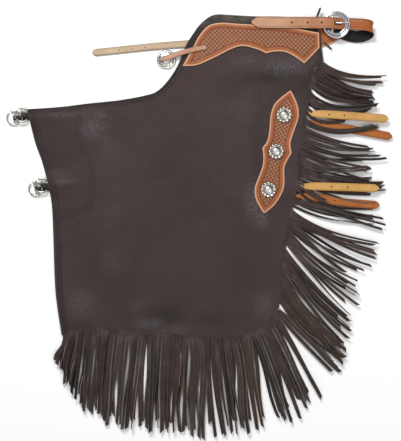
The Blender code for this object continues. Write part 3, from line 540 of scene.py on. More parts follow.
class Look:
    """The nodes of one shader tree; a socket may stand wherever a number or a colour may."""

    def __init__(self, tree):
        self.tree = tree

    def wire(self, socket, value):
        if isinstance(value, bpy.types.NodeSocket):
            self.tree.links.new(value, socket)
        else:
            socket.default_value = value

    def add(self, kind, **values):
        """A node with its inputs and properties set by name."""
        node = self.tree.nodes.new("ShaderNode" + kind)
        for key, value in values.items():
            title = key.replace("_", " ")
            if title in node.inputs:
                self.wire(node.inputs[title], value)
            else:
                setattr(node, key, value)
        return node

    def places(self):
        return self.add("TexCoord").outputs["Object"]

    def place(self, axis):
        return self.add("SeparateXYZ", Vector=self.places()).outputs[axis]

    def noise(self, scale, detail=3.0, roughness=0.5):
        node = self.add("TexNoise", Vector=self.places(), Scale=scale, Detail=detail, Roughness=roughness)
        return node.outputs["Fac"]

    def spread(self, value, low, high, to_low=0.0, to_high=1.0):
        node = self.add("MapRange", Value=value, From_Min=low, From_Max=high, To_Min=to_low, To_Max=to_high)
        return node.outputs["Result"]

    def patches(self, scale, detail, roughness, low, high, to_low=0.0, to_high=1.0):
        """Noise spread between two levels."""
        return self.spread(self.noise(scale, detail, roughness), low, high, to_low, to_high)

    def mixed(self, factor, first, second, blend="MIX"):
        node = self.add("Mix", data_type="RGBA", blend_type=blend)
        for key, value in (("Factor", factor), ("A", first), ("B", second)):
            socket = next(s for s in node.inputs if s.name == key and s.enabled)
            self.wire(socket, (*value, 1.0) if isinstance(value, tuple) else value)
        return next(s for s in node.outputs if s.enabled)

    def shaded(self, colour, tone):
        return self.mixed(1.0, colour, tone, "MULTIPLY")

    def combined(self, first, second, operation="MULTIPLY"):
        node = self.add("Math", operation=operation)
        self.wire(node.inputs[0], first)
        self.wire(node.inputs[1], second)
        return node.outputs[0]

    def painted(self):
        """Red, green and blue of the piece's paint."""
        layer = self.add("VertexColor", layer_name="paint")
        split = self.add("SeparateColor", Color=layer.outputs["Color"])
        return split.outputs["Red"], split.outputs["Green"], split.outputs["Blue"]

    def pebble(self, scale):
        """Height of a pebbled grain: rounded cells parted by fine valleys."""
        wobble = self.add("TexNoise", Vector=self.places(), Scale=scale * 0.6).outputs["Color"]
        shift = self.add("VectorMath", operation="SCALE", Vector=wobble, Scale=0.35 / scale)
        moved = self.add("VectorMath", operation="ADD", Vector=self.places())
        self.wire(moved.inputs[1], shift.outputs[0])
        cells = self.add("TexVoronoi", feature="DISTANCE_TO_EDGE", Vector=moved.outputs[0], Scale=scale)
        return self.spread(cells.outputs["Distance"], 0.0, 0.22)

    def finished(self, colour, rough=None, bumps=()):
        """The material; each bump is a height, a strength and a distance in metres."""
        self.wire(self.shader.inputs["Base Color"], colour)
        if rough is not None:
            self.wire(self.shader.inputs["Roughness"], rough)
        surface = self.shader
        for height, strength, distance in reversed(bumps):
            node = self.add("Bump", Height=height, Strength=strength, Distance=distance)
            self.wire(surface.inputs["Normal"], node.outputs["Normal"])
            surface = node
        return self.material


def new_look(name, roughness, metallic=0.0, sheen=0.0, coat=0.0, specular=0.5):
    made = bpy.data.materials.new(name)
    made.use_nodes = True
    look = Look(made.node_tree)
    look.material, look.shader = made, made.node_tree.nodes["Principled BSDF"]
    values = {
        "Roughness": roughness, "Metallic": metallic, "Sheen Weight": sheen, "Sheen Roughness": 0.5,
        "Coat Weight": coat, "Coat Roughness": 0.2, "Specular IOR Level": specular,
    }
    for key, value in values.items():
        look.shader.inputs[key].default_value = value
    return look


def hide_colour(look, grain, shade):
    """Brown-black hide with pebbled grain; shade takes it to a darker tone."""
    colour = look.mixed(look.patches(6, 4, 0.6, 0.3, 0.7), (0.0375, 0.0208, 0.0200), (0.0500, 0.0292, 0.0290))
    colour = look.mixed(shade, colour, (0.0115, 0.0068, 0.0058))
    colour = look.shaded(colour, look.patches(900, 2, 0.5, 0.35, 0.65, 0.84, 1.14))
    return look.shaded(colour, look.spread(grain, 0.0, 1.0, 0.8, 1.04))


def leg_leather():
    """Red paint marks worn, shiny grain, painted lighter with a painted highlight and glint; green marks darker
    places, painted shade among them.
    """
    look = new_look("dark_pebbled_leather", 0.47, specular=0.3)
    shine_and_highlight, dark_tone_and_shade, _ = look.painted()
    grain = look.pebble(330)
    # Painted highlight: the shiny places are painted lighter, and their grain tops get a painted glint
    colour = look.mixed(look.combined(shine_and_highlight, 0.5), hide_colour(look, grain, dark_tone_and_shade), (0.082, 0.073, 0.078))
    painted_glint = look.combined(look.combined(shine_and_highlight, grain), look.patches(240, 3, 0.7, 0.45, 0.66))
    colour = look.mixed(look.combined(painted_glint, 0.7), colour, (0.26, 0.25, 0.26))
    rough = look.patches(30, 3, 0.5, 0.3, 0.7, 0.50, 0.60)
    rough = look.combined(rough, look.combined(shine_and_highlight, 0.22), "SUBTRACT")
    raised = look.combined(grain, look.spread(shine_and_highlight, 0.0, 0.8, 0.3, 1.0))
    bumps = [(raised, 0.75, 0.0010), (look.noise(60), 0.3, 0.0025), (look.noise(14), 0.5, 0.008)]
    return look.finished(colour, rough, bumps)


def flesh_leather():
    look = new_look("dark_suede", 0.85, sheen=0.2, specular=0.2)
    waist = look.spread(look.place("Y"), 0.425, 0.448)
    colour = look.mixed(look.patches(14, 4, 0.6, 0.3, 0.7), (0.021, 0.0165, 0.0145), (0.043, 0.034, 0.030))
    worn = look.mixed(look.patches(55, 4, 0.7, 0.35, 0.65), (0.042, 0.036, 0.029), (0.125, 0.104, 0.083))
    colour = look.mixed(look.combined(waist, 0.8), colour, worn)
    nap = look.noise(1500)
    colour = look.shaded(colour, look.spread(nap, 0.3, 0.7, 0.75, 1.2))
    return look.finished(colour, None, [(nap, 0.5, 0.0004), (look.noise(160), 0.3, 0.0008)])


def string_leather():
    """Red paint is how much flesh side shows, green marks the lighter cut edges with a painted highlight, blue is
    the string's own tone.
    """
    look = new_look("string_leather", 0.5, specular=0.3)
    flesh, edge, tone = look.painted()
    grain = look.pebble(330)
    colour = hide_colour(look, grain, look.spread(tone, 0.0, 0.75, 0.95, 0.0))
    # Painted highlight: a grey sheen on the grain tops of the lighter strings
    grey_highlight = look.combined(look.patches(26, 3, 0.5, 0.52, 0.66), look.spread(tone, 0.4, 0.8))
    grey_highlight = look.combined(grey_highlight, look.spread(grain, 0.2, 1.0, 0.15, 0.6))
    colour = look.mixed(grey_highlight, colour, (0.105, 0.098, 0.098))
    colour = look.mixed(look.combined(flesh, 0.9), colour, (0.056, 0.035, 0.021))
    colour = look.mixed(edge, colour, (0.30, 0.27, 0.255))
    colour = look.shaded(colour, look.patches(40, 3, 0.5, 0.3, 0.7, 0.8, 1.18))
    rough = look.spread(flesh, 0.0, 1.0, 0.42, 0.85)
    return look.finished(colour, rough, [(grain, 0.7, 0.0009), (look.noise(90, 2), 0.3, 0.0015)])


def tooled_leather():
    """Red paint is the tooling's depth, darker stamped leather with painted shade in its recesses; green the worn
    edge and a painted highlight on the weave's pads; blue the dark line inside the border.
    """
    look = new_look("tooled_leather", 0.45, specular=0.3)
    depth, edge, line = look.painted()
    colour = look.mixed(look.patches(28, 4, 0.6, 0.3, 0.7), (0.29, 0.076, 0.018), (0.385, 0.116, 0.036))
    colour = look.mixed(look.patches(120, 5, 0.7, 0.35, 0.7), colour, (0.27, 0.082, 0.026))
    colour = look.mixed(edge, colour, (0.70, 0.41, 0.26))
    colour = look.mixed(depth, colour, (0.034, 0.010, 0.004))
    dots = look.patches(520, 1, 0.5, 0.42, 0.55, 0.45, 1.0)
    colour = look.mixed(look.combined(line, dots), colour, (0.028, 0.009, 0.004))
    rough = look.patches(80, 3, 0.5, 0.3, 0.7, 0.36, 0.54)
    return look.finished(colour, rough, [(look.noise(1100), 0.25, 0.0003), (look.pebble(900), 0.12, 0.0002)])


def strap_leather(name, dark, light, edge_colour, roughness, coat, inner_shade_colour=None, far_colour=None):
    """Red paint is the crease line and the painted shade inside holes, green the cut edge, blue the inner face,
    painted near black as shade where its colour is given.
    """
    look = new_look(name, roughness, coat=coat, specular=0.25)
    crease, edge, inner = look.painted()
    colour = look.mixed(look.patches(22, 5, 0.65, 0.3, 0.7), dark, light)
    if far_colour:
        colour = look.mixed(look.spread(look.place("X"), 0.17, 0.34), colour, far_colour)
    colour = look.shaded(colour, look.patches(420, 4, 0.7, 0.3, 0.75, 0.86, 1.08))
    colour = look.mixed(edge, colour, edge_colour)
    dashes = look.combined(crease, look.patches(600, 1, 0.5, 0.4, 0.6, 0.45, 1.0))
    colour = look.mixed(dashes, colour, tuple(c * 0.2 for c in dark))
    if inner_shade_colour:
        colour = look.mixed(inner, colour, inner_shade_colour)
    rough = look.patches(90, 3, 0.5, 0.3, 0.7, roughness - 0.06, roughness + 0.08)
    return look.finished(colour, rough, [(look.noise(900), 0.25, 0.0003), (look.noise(130), 0.15, 0.0006)])


def plain_leather(name, dark, light, roughness):
    look = new_look(name, roughness, specular=0.4)
    colour = look.mixed(look.patches(90, 4, 0.6, 0.3, 0.7), dark, light)
    return look.finished(colour, None, [(look.pebble(700), 0.3, 0.0003)])


def metal(name, colour, dark, roughness, grime):
    """A worn metal; red paint is the engraved depth, which holds dark antiquing, and on the conchos' domes and the
    buckle's ring a painted dark reflection.
    """
    look = new_look(name, roughness, metallic=1.0)
    tone = look.mixed(look.patches(160, 4, 0.6, 0.35, 0.75, 0.0, grime), colour, dark)
    tone = look.mixed(look.painted()[0], tone, dark)
    rough = look.patches(420, 3, 0.5, 0.3, 0.7, roughness * 0.8, roughness * 1.35)
    return look.finished(tone, rough, [(look.noise(500, 4), 0.12, 0.0002)])


def thread(name, colour, shade):
    look = new_look(name, 0.7, specular=0.3)
    wave = look.add("TexWave", Vector=look.places(), Scale=700, Distortion=2.0).outputs["Fac"]
    return look.finished(look.mixed(wave, colour, shade), None, [(wave, 0.3, 0.0002)])


def floor_material():
    look = new_look("studio_floor", 0.9, specular=0.1)
    return look.finished(look.mixed(look.patches(3, 2, 0.5, 0.3, 0.7), (0.97, 0.97, 0.97), (0.99, 0.99, 0.99)))


LEG = leg_leather()
FLESH = flesh_leather()
STRING = string_leather()
TOOLED = tooled_leather()
GRAIN_STRAP = strap_leather(
    "strap_grain", (0.33, 0.092, 0.016), (0.46, 0.145, 0.032), (0.20, 0.055, 0.014), 0.42, 0.08
)
FLESH_STRAP = strap_leather(
    "strap_flesh", (0.52, 0.285, 0.082), (0.66, 0.38, 0.130), (0.22, 0.09, 0.022), 0.75, 0.0
)
# Its dark cut edges are the edge's own colour with painted shade along them
FRONT_FLESH = strap_leather(
    "front_strap_flesh", (0.45, 0.32, 0.20), (0.58, 0.44, 0.305), (0.06, 0.032, 0.018), 0.75, 0.0
)
# Its near-black inner face colour is painted shade inside the loop
BELT_LEATHER = strap_leather(
    "belt_leather", (0.43, 0.215, 0.122), (0.56, 0.325, 0.212), (0.09, 0.034, 0.015), 0.45, 0.05,
    (0.004, 0.003, 0.003), (0.34, 0.092, 0.018),
)
TAB = plain_leather("black_leather", (0.006, 0.005, 0.005), (0.018, 0.015, 0.014), 0.5)
LACE = plain_leather("lace_leather", (0.030, 0.017, 0.017), (0.055, 0.032, 0.030), 0.6)
SILVER = metal("antique_silver", (0.93, 0.91, 0.86), (0.10, 0.085, 0.07), 0.27, 0.12)
CHROME = metal("polished_chrome", (0.82, 0.83, 0.85), (0.20, 0.20, 0.21), 0.10, 0.15)
NICKEL = metal("worn_nickel", (0.58, 0.55, 0.50), (0.07, 0.058, 0.048), 0.26, 0.7)
TAN_THREAD = thread("tan_thread", (0.62, 0.40, 0.27), (0.42, 0.24, 0.15))
DARK_THREAD = thread("dark_thread", (0.085, 0.066, 0.064), (0.045, 0.034, 0.033))


# Legs, patch and yokes


def leg_edges():
    hem = [(x, y + FAR_INSET, *rest) for x, y, *rest in NEAR_HEM]
    right = [FAR_TOP[-1], *[(x - FAR_INSET, y, *rest) for x, y, *rest in NEAR_RIGHT[1:]]]
    left = [FAR_TOP[0], *[(x + 2, y, *rest) for x, y, *rest in NEAR_LEFT[1:]]]
    hem[0] = left[-1] = (left[-1][0], hem[0][1])
    hem[-1] = right[-1] = (right[-1][0], hem[-1][1])
    return (NEAR_TOP, NEAR_HEM, NEAR_LEFT, NEAR_RIGHT), (FAR_TOP, hem, left, right)


NEAR_EDGES, FAR_EDGES = leg_edges()
near_outline = outline_of(NEAR_EDGES)


def seam(plan, shadow):
    """Two dark lines along the inner leg, and the shadow between them."""
    far = distance_to(plan, near_outline[-OUTLINE_STEPS - 1 :])
    return ridge(far, 6.5, 1.6) + 0.8 * ridge(far, 14.5, 1.5) + shadow * ridge(far, 10.5, 5.0)


def paint_of(*layers):
    return np.stack(layers, axis=-1)


near_plan = coons_grid(NEAR_EDGES, (140, 130))
nx, ny = near_plan[..., 0], near_plan[..., 1]
near_top = near_face(nx, ny)
# Painted shade of a folded edge along the waist slope; the fold is not raised in the leather
near_fold_shade = ridge(distance_to(near_plan, near_outline), 5.0, 2.2) * (ny > 242 + 0.13 * (nx + 300))
near_dark = 0.85 * near_fold_shade + 0.8 * seam(near_plan, 0.45) + strongest(nx, ny, SHADES, 1.0)
near_dark = np.clip(near_dark, 0, 1)
near_paint = paint_of(worn_shine_and_highlight(nx, ny) * (1 - 0.7 * near_dark), near_dark, 0 * nx)
near_leg = grid_shell("near_leg", near_plan, near_top - LEG_THICK, near_top, LEG, near_paint)
far_plan = coons_grid(FAR_EDGES, (90, 84))
far_low = far_floor(far_plan[..., 0], far_plan[..., 1]) + TABLE_GAP
far_leg = grid_shell("far_leg", far_plan, far_low, far_low + LEG_THICK, FLESH)

thigh_edges = (THIGH_TOP, THIGH_LOW, THIGH_LEFT, THIGH_RIGHT)
thigh_plan = coons_grid(thigh_edges, (50, 84))
tx, ty = thigh_plan[..., 0], thigh_plan[..., 1]
thigh_base = near_face(tx, ty) + OVERLAY_LIFT
thigh_edge = distance_to(thigh_plan, outline_of(thigh_edges))
# Sunk stitch channels along the patch's edge
thigh_fold = sum(ridge(thigh_edge, inset, 1.3) for inset in THIGH_STITCHES)
thigh_dark = np.clip(thigh_fold * 0.7 + 0.8 * seam(thigh_plan, 0.0) + strongest(tx, ty, SHADES, 1.0), 0, 1)
grid_shell("thigh_patch", thigh_plan, thigh_base, thigh_base + PATCH_THICK - 0.45 * thigh_fold, LEG,
           paint_of(worn_shine_and_highlight(tx, ty), thigh_dark, 0 * tx))


def basketweave(x, y, angle):
    """Height from 0 to 1 of a stamped basketweave: rounded pads with two cuts each, turned by turns."""
    turn = math.radians(angle)
    u = (x * math.cos(turn) + y * math.sin(turn)) / WEAVE_PITCH
    v = (-x * math.sin(turn) + y * math.cos(turn)) / WEAVE_PITCH
    crossed = (np.floor(u) + np.floor(v)) % 2 == 0
    a = np.where(crossed, u - np.floor(u), v - np.floor(v)) * 2 - 1
    b = np.where(crossed, v - np.floor(v), u - np.floor(u)) * 2 - 1
    pad = np.clip(1.15 - a**4 - 0.55 * np.abs(b) ** 6, 0, 1)
    return pad * (0.62 + 0.38 * np.abs(np.cos(b * math.pi * 1.5)))


def tooled_piece(node, edges, cells, floor, thick, angle, border, lift=OVERLAY_LIFT):
    """A tooled overlay: smooth border, dark sunk line, and basketweave inside it."""
    plan = coons_grid(edges, cells)
    x, y = plan[..., 0], plan[..., 1]
    base = floor(x, y) + lift
    edge = distance_to(plan, outline_of(edges))
    inside = smooth_step((edge - border - 1.2) / 1.2)
    weave = basketweave(x, y, angle)
    groove, stitch = ridge(edge, border, 1.15), ridge(edge, TOOLED_STITCH, 0.8)
    top = base + thick - 0.75 * inside * (1 - weave) - 0.55 * groove - 0.3 * stitch - 0.5 * ridge(edge, 0, 0.5)
    # The weave's recesses are painted dark, painted shade over the stamped leather's darker tone, and the pads'
    # tops pale, a painted highlight
    depth = np.clip(inside * smooth_step((0.92 - weave) / 0.42) * 0.98, 0, 1)
    pale_edge_and_highlight = 0.9 * ridge(edge, 0.9, 1.5) + 0.15 * stitch + 0.6 * inside * smooth_step((weave - 0.88) / 0.1)
    paint = paint_of(depth, np.clip(pale_edge_and_highlight, 0, 1), np.clip(groove * 0.95, 0, 1))
    return grid_shell(node, plan, base, top, TOOLED, paint)


def end_edges(first, second):
    """The straight edges that join the ends of two long ones."""
    return [first[0], second[0]], [first[-1], second[-1]]


yoke_edges = (YOKE_TOP, YOKE_LOW, *end_edges(YOKE_TOP, YOKE_LOW))
far_yoke_edges = (FAR_YOKE_TOP, FAR_YOKE_LOW, *end_edges(FAR_YOKE_TOP, FAR_YOKE_LOW))
plate_edges = (*end_edges(PLATE_LEFT, PLATE_RIGHT), PLATE_LEFT, PLATE_RIGHT)
tooled_piece("near_yoke", yoke_edges, (330, 74), near_face, YOKE_THICK, 45, 10.6)
# The far yoke is covered but for its edge, so its border reaches all over it
tooled_piece("far_yoke", far_yoke_edges, (200, 24), lambda x, y: 0.0 * x, FAR_YOKE_THICK, 45, 60.0, TABLE_GAP)
tooled_piece("concho_plate", plate_edges, (76, 270), near_face, PLATE_THICK, 30, 11.0)


# Fringes


def string_heading(start, end, share):
    """The heading turns fastest near the root, where a string leaves the leg."""
    return math.radians(end + (start - end) * (1.0 - share) ** 2)


def smooth_share(t):
    return float(smooth_step(t))


def fringe(key, root_line, locks, axis, floor):
    name, low_layer, wide, seed, parted = FRINGES[key]
    dice = random.Random(seed)
    stations = spaced(root_line, ROOT_STEPS)
    points, faces, paint = [], [], []

    def section(share):
        """Root strip at a share of its length: its inner and outer spot and its level."""
        at = min(max(share, 0.0), 1.0) * ROOT_STEPS
        i = min(int(at), ROOT_STEPS - 1)
        place = stations[i].lerp(stations[i + 1], at - i)
        ahead = (stations[min(i + 4, ROOT_STEPS)] - stations[max(i - 3, 0)]).normalized()
        out = Vector((-ahead.y, ahead.x))
        return place + out * parted, place + out * (parted + FRINGE_STRIP), float(floor(place.x, place.y))

    strip = []
    for k in range(STRIP_STEPS + 1):
        inner, outer, level = section(k / STRIP_STEPS)
        corners = ((inner, 0), (outer, 0), (outer, LEG_THICK), (inner, LEG_THICK))
        strip.append([(spot.x, spot.y, level + height) for spot, height in corners])
        paint += [(0, 0, 1)] * 4
    tube(points, faces, strip)

    number = 0
    for first, last, count, start_a, start_b, end_a, end_b, long_a, long_b, flesh_share, *layer in locks:
        lock_bend, lock_tone = dice.uniform(-1.5, 1.5), dice.uniform(0.3, 0.8)
        for i in range(count):
            number += 1
            share = i / max(1, count - 1)
            where = first + (last - first) * share
            nearest = min(range(ROOT_STEPS + 1), key=lambda k: abs(stations[k][axis] - where))
            _, root, level = section(nearest / ROOT_STEPS)
            start = start_a + (start_b - start_a) * share + dice.uniform(-3, 3)
            end = end_a + (end_b - end_a) * share + lock_bend + dice.uniform(-1.6, 1.6)
            length = (long_a + (long_b - long_a) * share) * dice.uniform(0.93, 1.02)
            flesh = dice.uniform(0.55, 1.0) if dice.random() < flesh_share else dice.uniform(0.0, 0.1)
            tone = min(1.0, max(0.0, lock_tone + dice.uniform(-0.5, 0.5)))
            twist = math.radians(dice.gauss(0, 24))
            if dice.random() < 0.2:
                twist = math.radians(dice.choice((-1, 1)) * dice.uniform(60, 150))
            # How light a string's cut edges are painted: lighter leather with a painted highlight
            root_fade, edge_tone_and_highlight = dice.uniform(3.5, 9.0), dice.choice((0.05, 0.15, 0.5, 1.0))
            sway = dice.uniform(-5.0, 5.0)
            width = wide * dice.uniform(0.88, 1.08) * (LOW_SIDE_WIDER if axis and where < LOW_SIDE else 1.0)
            high = (layer[0] if layer else low_layer) + LAYER_STEP * (number % 3)
            slant = dice.uniform(1.5, 4.5) * dice.choice((-1, 1))
            rings, step = [], (length + 3) / (STRING_STATIONS - 1)
            for k in range(STRING_STATIONS):
                along = k / (STRING_STATIONS - 1)
                heading = string_heading(start, end, along)
                ahead = Vector((math.cos(heading), math.sin(heading)))
                place = place + ahead * step if k else root - ahead * 3
                side = Vector((-ahead.y, ahead.x))
                centre = place + side * sway * math.sin(math.pi * along * (1.4 + 0.08 * sway))
                climb = min(1.0, max(0.0, along * length - STRING_FLAT) / STRING_RISE)
                lean = twist * smooth_share(along * 1.15 - 0.1)
                cosine, sine = math.cos(lean), math.sin(lean)
                half = 0.5 * width * (1.0 - 0.10 * along)
                height = level + (high - level) * climb + STRING_THICK * 0.5 + abs(sine) * half * 0.75
                root_tone = tone + (0.9 - tone) * (1.0 - smooth_share(along * root_fade))
                shown_flesh, shown_edge_and_highlight = flesh * smooth_share(along * 4.0), edge_tone_and_highlight * smooth_share(along * 9.0)
                ring = []
                for across, up, mark in STRING_SECTION:
                    out, rise = across * half, (up - 0.5) * STRING_THICK
                    spot = centre + side * (out * cosine - rise * sine)
                    if k == STRING_STATIONS - 1:
                        spot = spot + ahead * (slant * across - abs(slant))
                    ring.append((spot.x, spot.y, max(TABLE_GAP, height + out * sine + rise * cosine)))
                    paint.append((shown_flesh, mark * shown_edge_and_highlight, root_tone))
                rings.append(ring)
            tube(points, faces, rings)
    mesh_piece(f"{name}_strings", points, faces, STRING, name, paint=np.array(paint, float), sharp=55)


def trimmed(line, start, end):
    fine = spaced(line, 600)
    step = sum((b - a).length for a, b in zip(fine, fine[1:])) / 600
    return fine[int(start / step) : 600 - int(end / step)]


def fringe_roots(edges, cells):
    _, hem, _, right = edges
    corner = Vector(next(row for row in right if len(row) > 2)[:2])
    side = edge_line(right, cells[1])
    start = min(range(len(side)), key=lambda k: (side[k] - corner).length)
    return side[start:], edge_line(hem, cells[0])[::-1]


side_line, hem_line = fringe_roots(NEAR_EDGES, (22, 19))
fringe("near_side", trimmed(side_line, 2, 8), SIDE_LOCKS, 1, near_floor)
fringe("near_hem", trimmed(hem_line, 8, 3), HEM_LOCKS, 0, near_floor)
side_line, hem_line = fringe_roots(FAR_EDGES, (16, 14))
fringe("far_side", trimmed(side_line, 2, 12), FAR_SIDE_LOCKS, 1, far_floor)
fringe("far_hem", trimmed(hem_line, 26, 6), FAR_HEM_LOCKS, 0, far_floor)


# Straps


def strap_section(width, thick, crease):
    """Section of a strap: across, up, and paint of crease and edge, with rounded edges and two crease lines."""
    half, rise = 0.5 * width, 0.5 * thick
    upper = [(-half, 0.0, 0, 1), (-half, rise * 0.55, 0, 1), (-half + 0.7, rise, 0, 0.35)]
    if crease:
        groove = ((-0.7, 0.0, 0), (0.0, 0.35, 1), (0.7, 0.0, 0))
        upper += [(-half + crease + off, rise - sunk, mark, 0) for off, sunk, mark in groove]
    upper.append((-half * 0.4, rise, 0, 0))
    under = [(half, -rise * 0.55, 0, 1), (half - 0.7, -rise, 0, 0.35), (half * 0.4, -rise, 0, 0)]
    return [row for part in (upper, under) for row in part + [(-off, *rest) for off, *rest in part[::-1]]]


def with_bores(line, holes):
    """The line with a station on each side of every hole, and each hole's cell, spot and radius."""
    for x, y, diameter in holes:
        spot, best = Vector((x, y)), None
        for i in range(len(line) - 1):
            a, b = line[i].xy, line[i + 1].xy
            span = b - a
            t = min(1.0, max(0.0, (spot - a).dot(span) / max(span.length_squared, 1e-9)))
            gap = (a + span * t - spot).length
            if best is None or gap < best[0]:
                best = (gap, i, line[i].lerp(line[i + 1], t), (line[i + 1] - line[i]).normalized())
        _, i, place, ahead = best
        reach = 0.85 * diameter
        before, after = (
            [p for p in part if (p - place).length > reach * 1.3] for part in (line[: i + 1], line[i + 1 :])
        )
        line = before + [place - ahead * reach, place + ahead * reach] + after
    bores = {}
    for x, y, diameter in holes:
        spot = Vector((x, y))
        i = min(range(len(line) - 1), key=lambda k: ((line[k].xy + line[k + 1].xy) / 2 - spot).length)
        bores[i] = (spot, diameter / 2)
    return line, bores


def bored_cell(points, faces, paint, cell, rise, bore, middle, axes):
    """One face of a strap with a round hole in it: its rim at the face and a ring within the leather painted dark
    as shade.
    """
    spot, radius = bore
    ahead, side, up = axes
    shift = Vector((*spot, middle.z)) - middle
    middle = middle + ahead * shift.dot(ahead) + side * shift.dot(side)

    def away_from_start(k):
        arm = Vector(points[cell[k]]) - middle
        return abs(math.degrees(math.atan2(arm.dot(side), arm.dot(ahead))) + 45)

    first = min(range(4), key=away_from_start)
    order = [cell[(first + k) % 4] for k in range(4)]
    if (Vector(points[order[1]]) - middle).dot(ahead) < 0:
        order = [order[0], *order[:0:-1]]
    inner = paint[cell[0]][2]
    rims = []
    for share, colour in ((1.0, paint[cell[0]]), (0.75, (1.0, 0.0, inner))):
        rims.append(list(range(len(points), len(points) + HOLE_SIDES)))
        for k in range(HOLE_SIDES):
            turn = math.radians(-45 + 30 * k)
            points.append(middle + (ahead * math.cos(turn) + side * math.sin(turn)) * radius + up * rise * share)
            paint.append(colour)
    ring = rims[0]
    for q in range(4):
        arc = [ring[(3 * q + k) % HOLE_SIDES] for k in (3, 2, 1, 0)]
        faces.append((order[q], order[(q + 1) % 4], *arc))
    return rims


def strap(node, route, width, thick, material, across=None, tip=True, smooth=6, crease=2.2,
          inner_up=False, point=0.6, holes=(), slim_root=1.0):
    line = [Vector(p) for p in route]
    if smooth > 1:
        line = spline_points(line, smooth)
    if tip:
        lengths = [0.0]
        for a, b in zip(line, line[1:]):
            lengths.append(lengths[-1] + (b - a).length)
        kept = [p for p, s in zip(line, lengths) if s < lengths[-1] - 0.8 * width]
        start, end = kept[-1], line[-1]
        length = (end - start).length
        line = kept + [end.lerp(start, min(1.0, back * width / length)) for back in TIP_STATIONS]
    line, bores = with_bores(line, holes)
    section = strap_section(width, thick, crease)
    if inner_up:
        section = [(off, -rise, *marks) for off, rise, *marks in section]
    points, faces, paint, frames, rings = [], [], [], [], []
    for i, place in enumerate(line):
        ahead = (line[min(i + 1, len(line) - 1)] - line[max(i - 1, 0)]).normalized()
        side = Vector(across) if across else Vector((-ahead.y, ahead.x, 0.0))
        side = (side - ahead * side.dot(ahead)).normalized()
        up = ahead.cross(side)
        frames.append((ahead, side, up))
        share = 1.0
        if tip:
            back = (line[-1] - place).length / width
            share = min(1.0, 0.22 + 0.78 * math.sin(0.5 * math.pi * min(1.0, back / point)))
        share *= slim_root + (1.0 - slim_root) * smooth_share(((place - line[0]).length - 8.0) / 42.0)
        rings.append([place + side * off * share + up * rise for off, rise, _, _ in section])
        for _, rise, line_mark, edge_mark in section:
            paint.append((line_mark * (share > 0.9), edge_mark, float((rise > 0) == inner_up)))
    tube(points, faces, rings)
    size = len(section)
    for i in sorted(bores):
        rims = []
        for k in range(size):
            n = (k + 1) % size
            off, next_off = section[k][0], section[n][0]
            if abs(off - next_off) > 0.35 * width and abs(off + next_off) < 1e-6:
                cell = (size * i + k, size * i + n, size * i + size + n, size * i + size + k)
                faces.remove(cell)
                middle = (line[i] + line[i + 1]) / 2
                rims += bored_cell(points, faces, paint, cell, section[k][1], bores[i], middle, frames[i])
        for outer, inner in ((rims[0], rims[1]), (rims[1], rims[3]), (rims[3], rims[2])):
            for k in range(HOLE_SIDES):
                n = (k + 1) % HOLE_SIDES
                faces.append((outer[k], outer[n], inner[n], inner[k]))
    return mesh_piece(f"{node}_leather", points, faces, material, node, paint=np.array(paint, float), sharp=50)


def cut_slot(thing, x, y, long, wide, low, high):
    """Cuts an upright slot out of a piece and keeps only the result."""
    shape = bmesh.new()
    bmesh.ops.create_cube(shape, size=1.0)
    middle = (Vector((x, y, (low + high) / 2)) + Vector(CENTRE_SHIFT)) * MM
    for vert in shape.verts:
        vert.co = Vector(c * s * MM for c, s in zip(vert.co, (long, wide, high - low))) + middle
    mesh = bpy.data.meshes.new("tool")
    shape.to_mesh(mesh)
    shape.free()
    layer = mesh.color_attributes.new("paint", "FLOAT_COLOR", "POINT")
    layer.data.foreach_set("color", [0.0, 0.0, 0.0, 1.0] * len(mesh.vertices))
    tool = bpy.data.objects.new("tool", mesh)
    bpy.context.scene.collection.objects.link(tool)
    step = thing.modifiers.new("cut", "BOOLEAN")
    step.operation, step.solver, step.object = "DIFFERENCE", "EXACT", tool
    graph = bpy.context.evaluated_depsgraph_get()
    graph.update()
    result = bpy.data.meshes.new_from_object(thing.evaluated_get(graph))
    thing.modifiers.clear()
    thing.data = result
    bpy.data.objects.remove(tool)
    thing.data.set_sharp_from_angle(angle=math.radians(40))


for strap_name, strap_route in LEG_STRAPS.items():
    flesh_up = strap_name.startswith("far")
    strap(
        strap_name, strap_route, LEG_STRAP_WIDTH, STRAP_THICK, FLESH_STRAP if flesh_up else GRAIN_STRAP,
        crease=0 if flesh_up else 2.2, slim_root=0.35,
        holes=[(x, y, LEG_STRAP_HOLE) for x, y in LEG_STRAP_HOLES[strap_name]],
    )
strap(
    "far_front_strap", FRONT_STRAP, FRONT_STRAP_WIDTH, FRONT_STRAP_THICK, FRONT_FLESH, crease=0,
    holes=[(x, y, FRONT_STRAP_HOLE) for x, y in FRONT_STRAP_HOLES],
)
strap(
    "front_tie", FRONT_TIE, FRONT_TIE_WIDTH, FRONT_TIE_THICK, BELT_LEATHER, across=(0.25, 1, 0),
    tip=False, crease=1.6, inner_up=True,
)
back_strap = strap(
    "back_strap", BELT, BELT_WIDTH, BELT_THICK, BELT_LEATHER, across=(0, 1, 0), smooth=5,
    crease=3.6, inner_up=True, point=0.75, holes=[(x, y, HOLE_DIAMETER) for x, y in BELT_HOLES],
)
cut_slot(back_strap, *TONGUE_SLOT, 7, 30)
for lace_name, (lace_route, lace_width) in LACES.items():
    strap(lace_name, lace_route, lace_width, LACE_THICK, LACE, crease=0, smooth=4)


# Metal


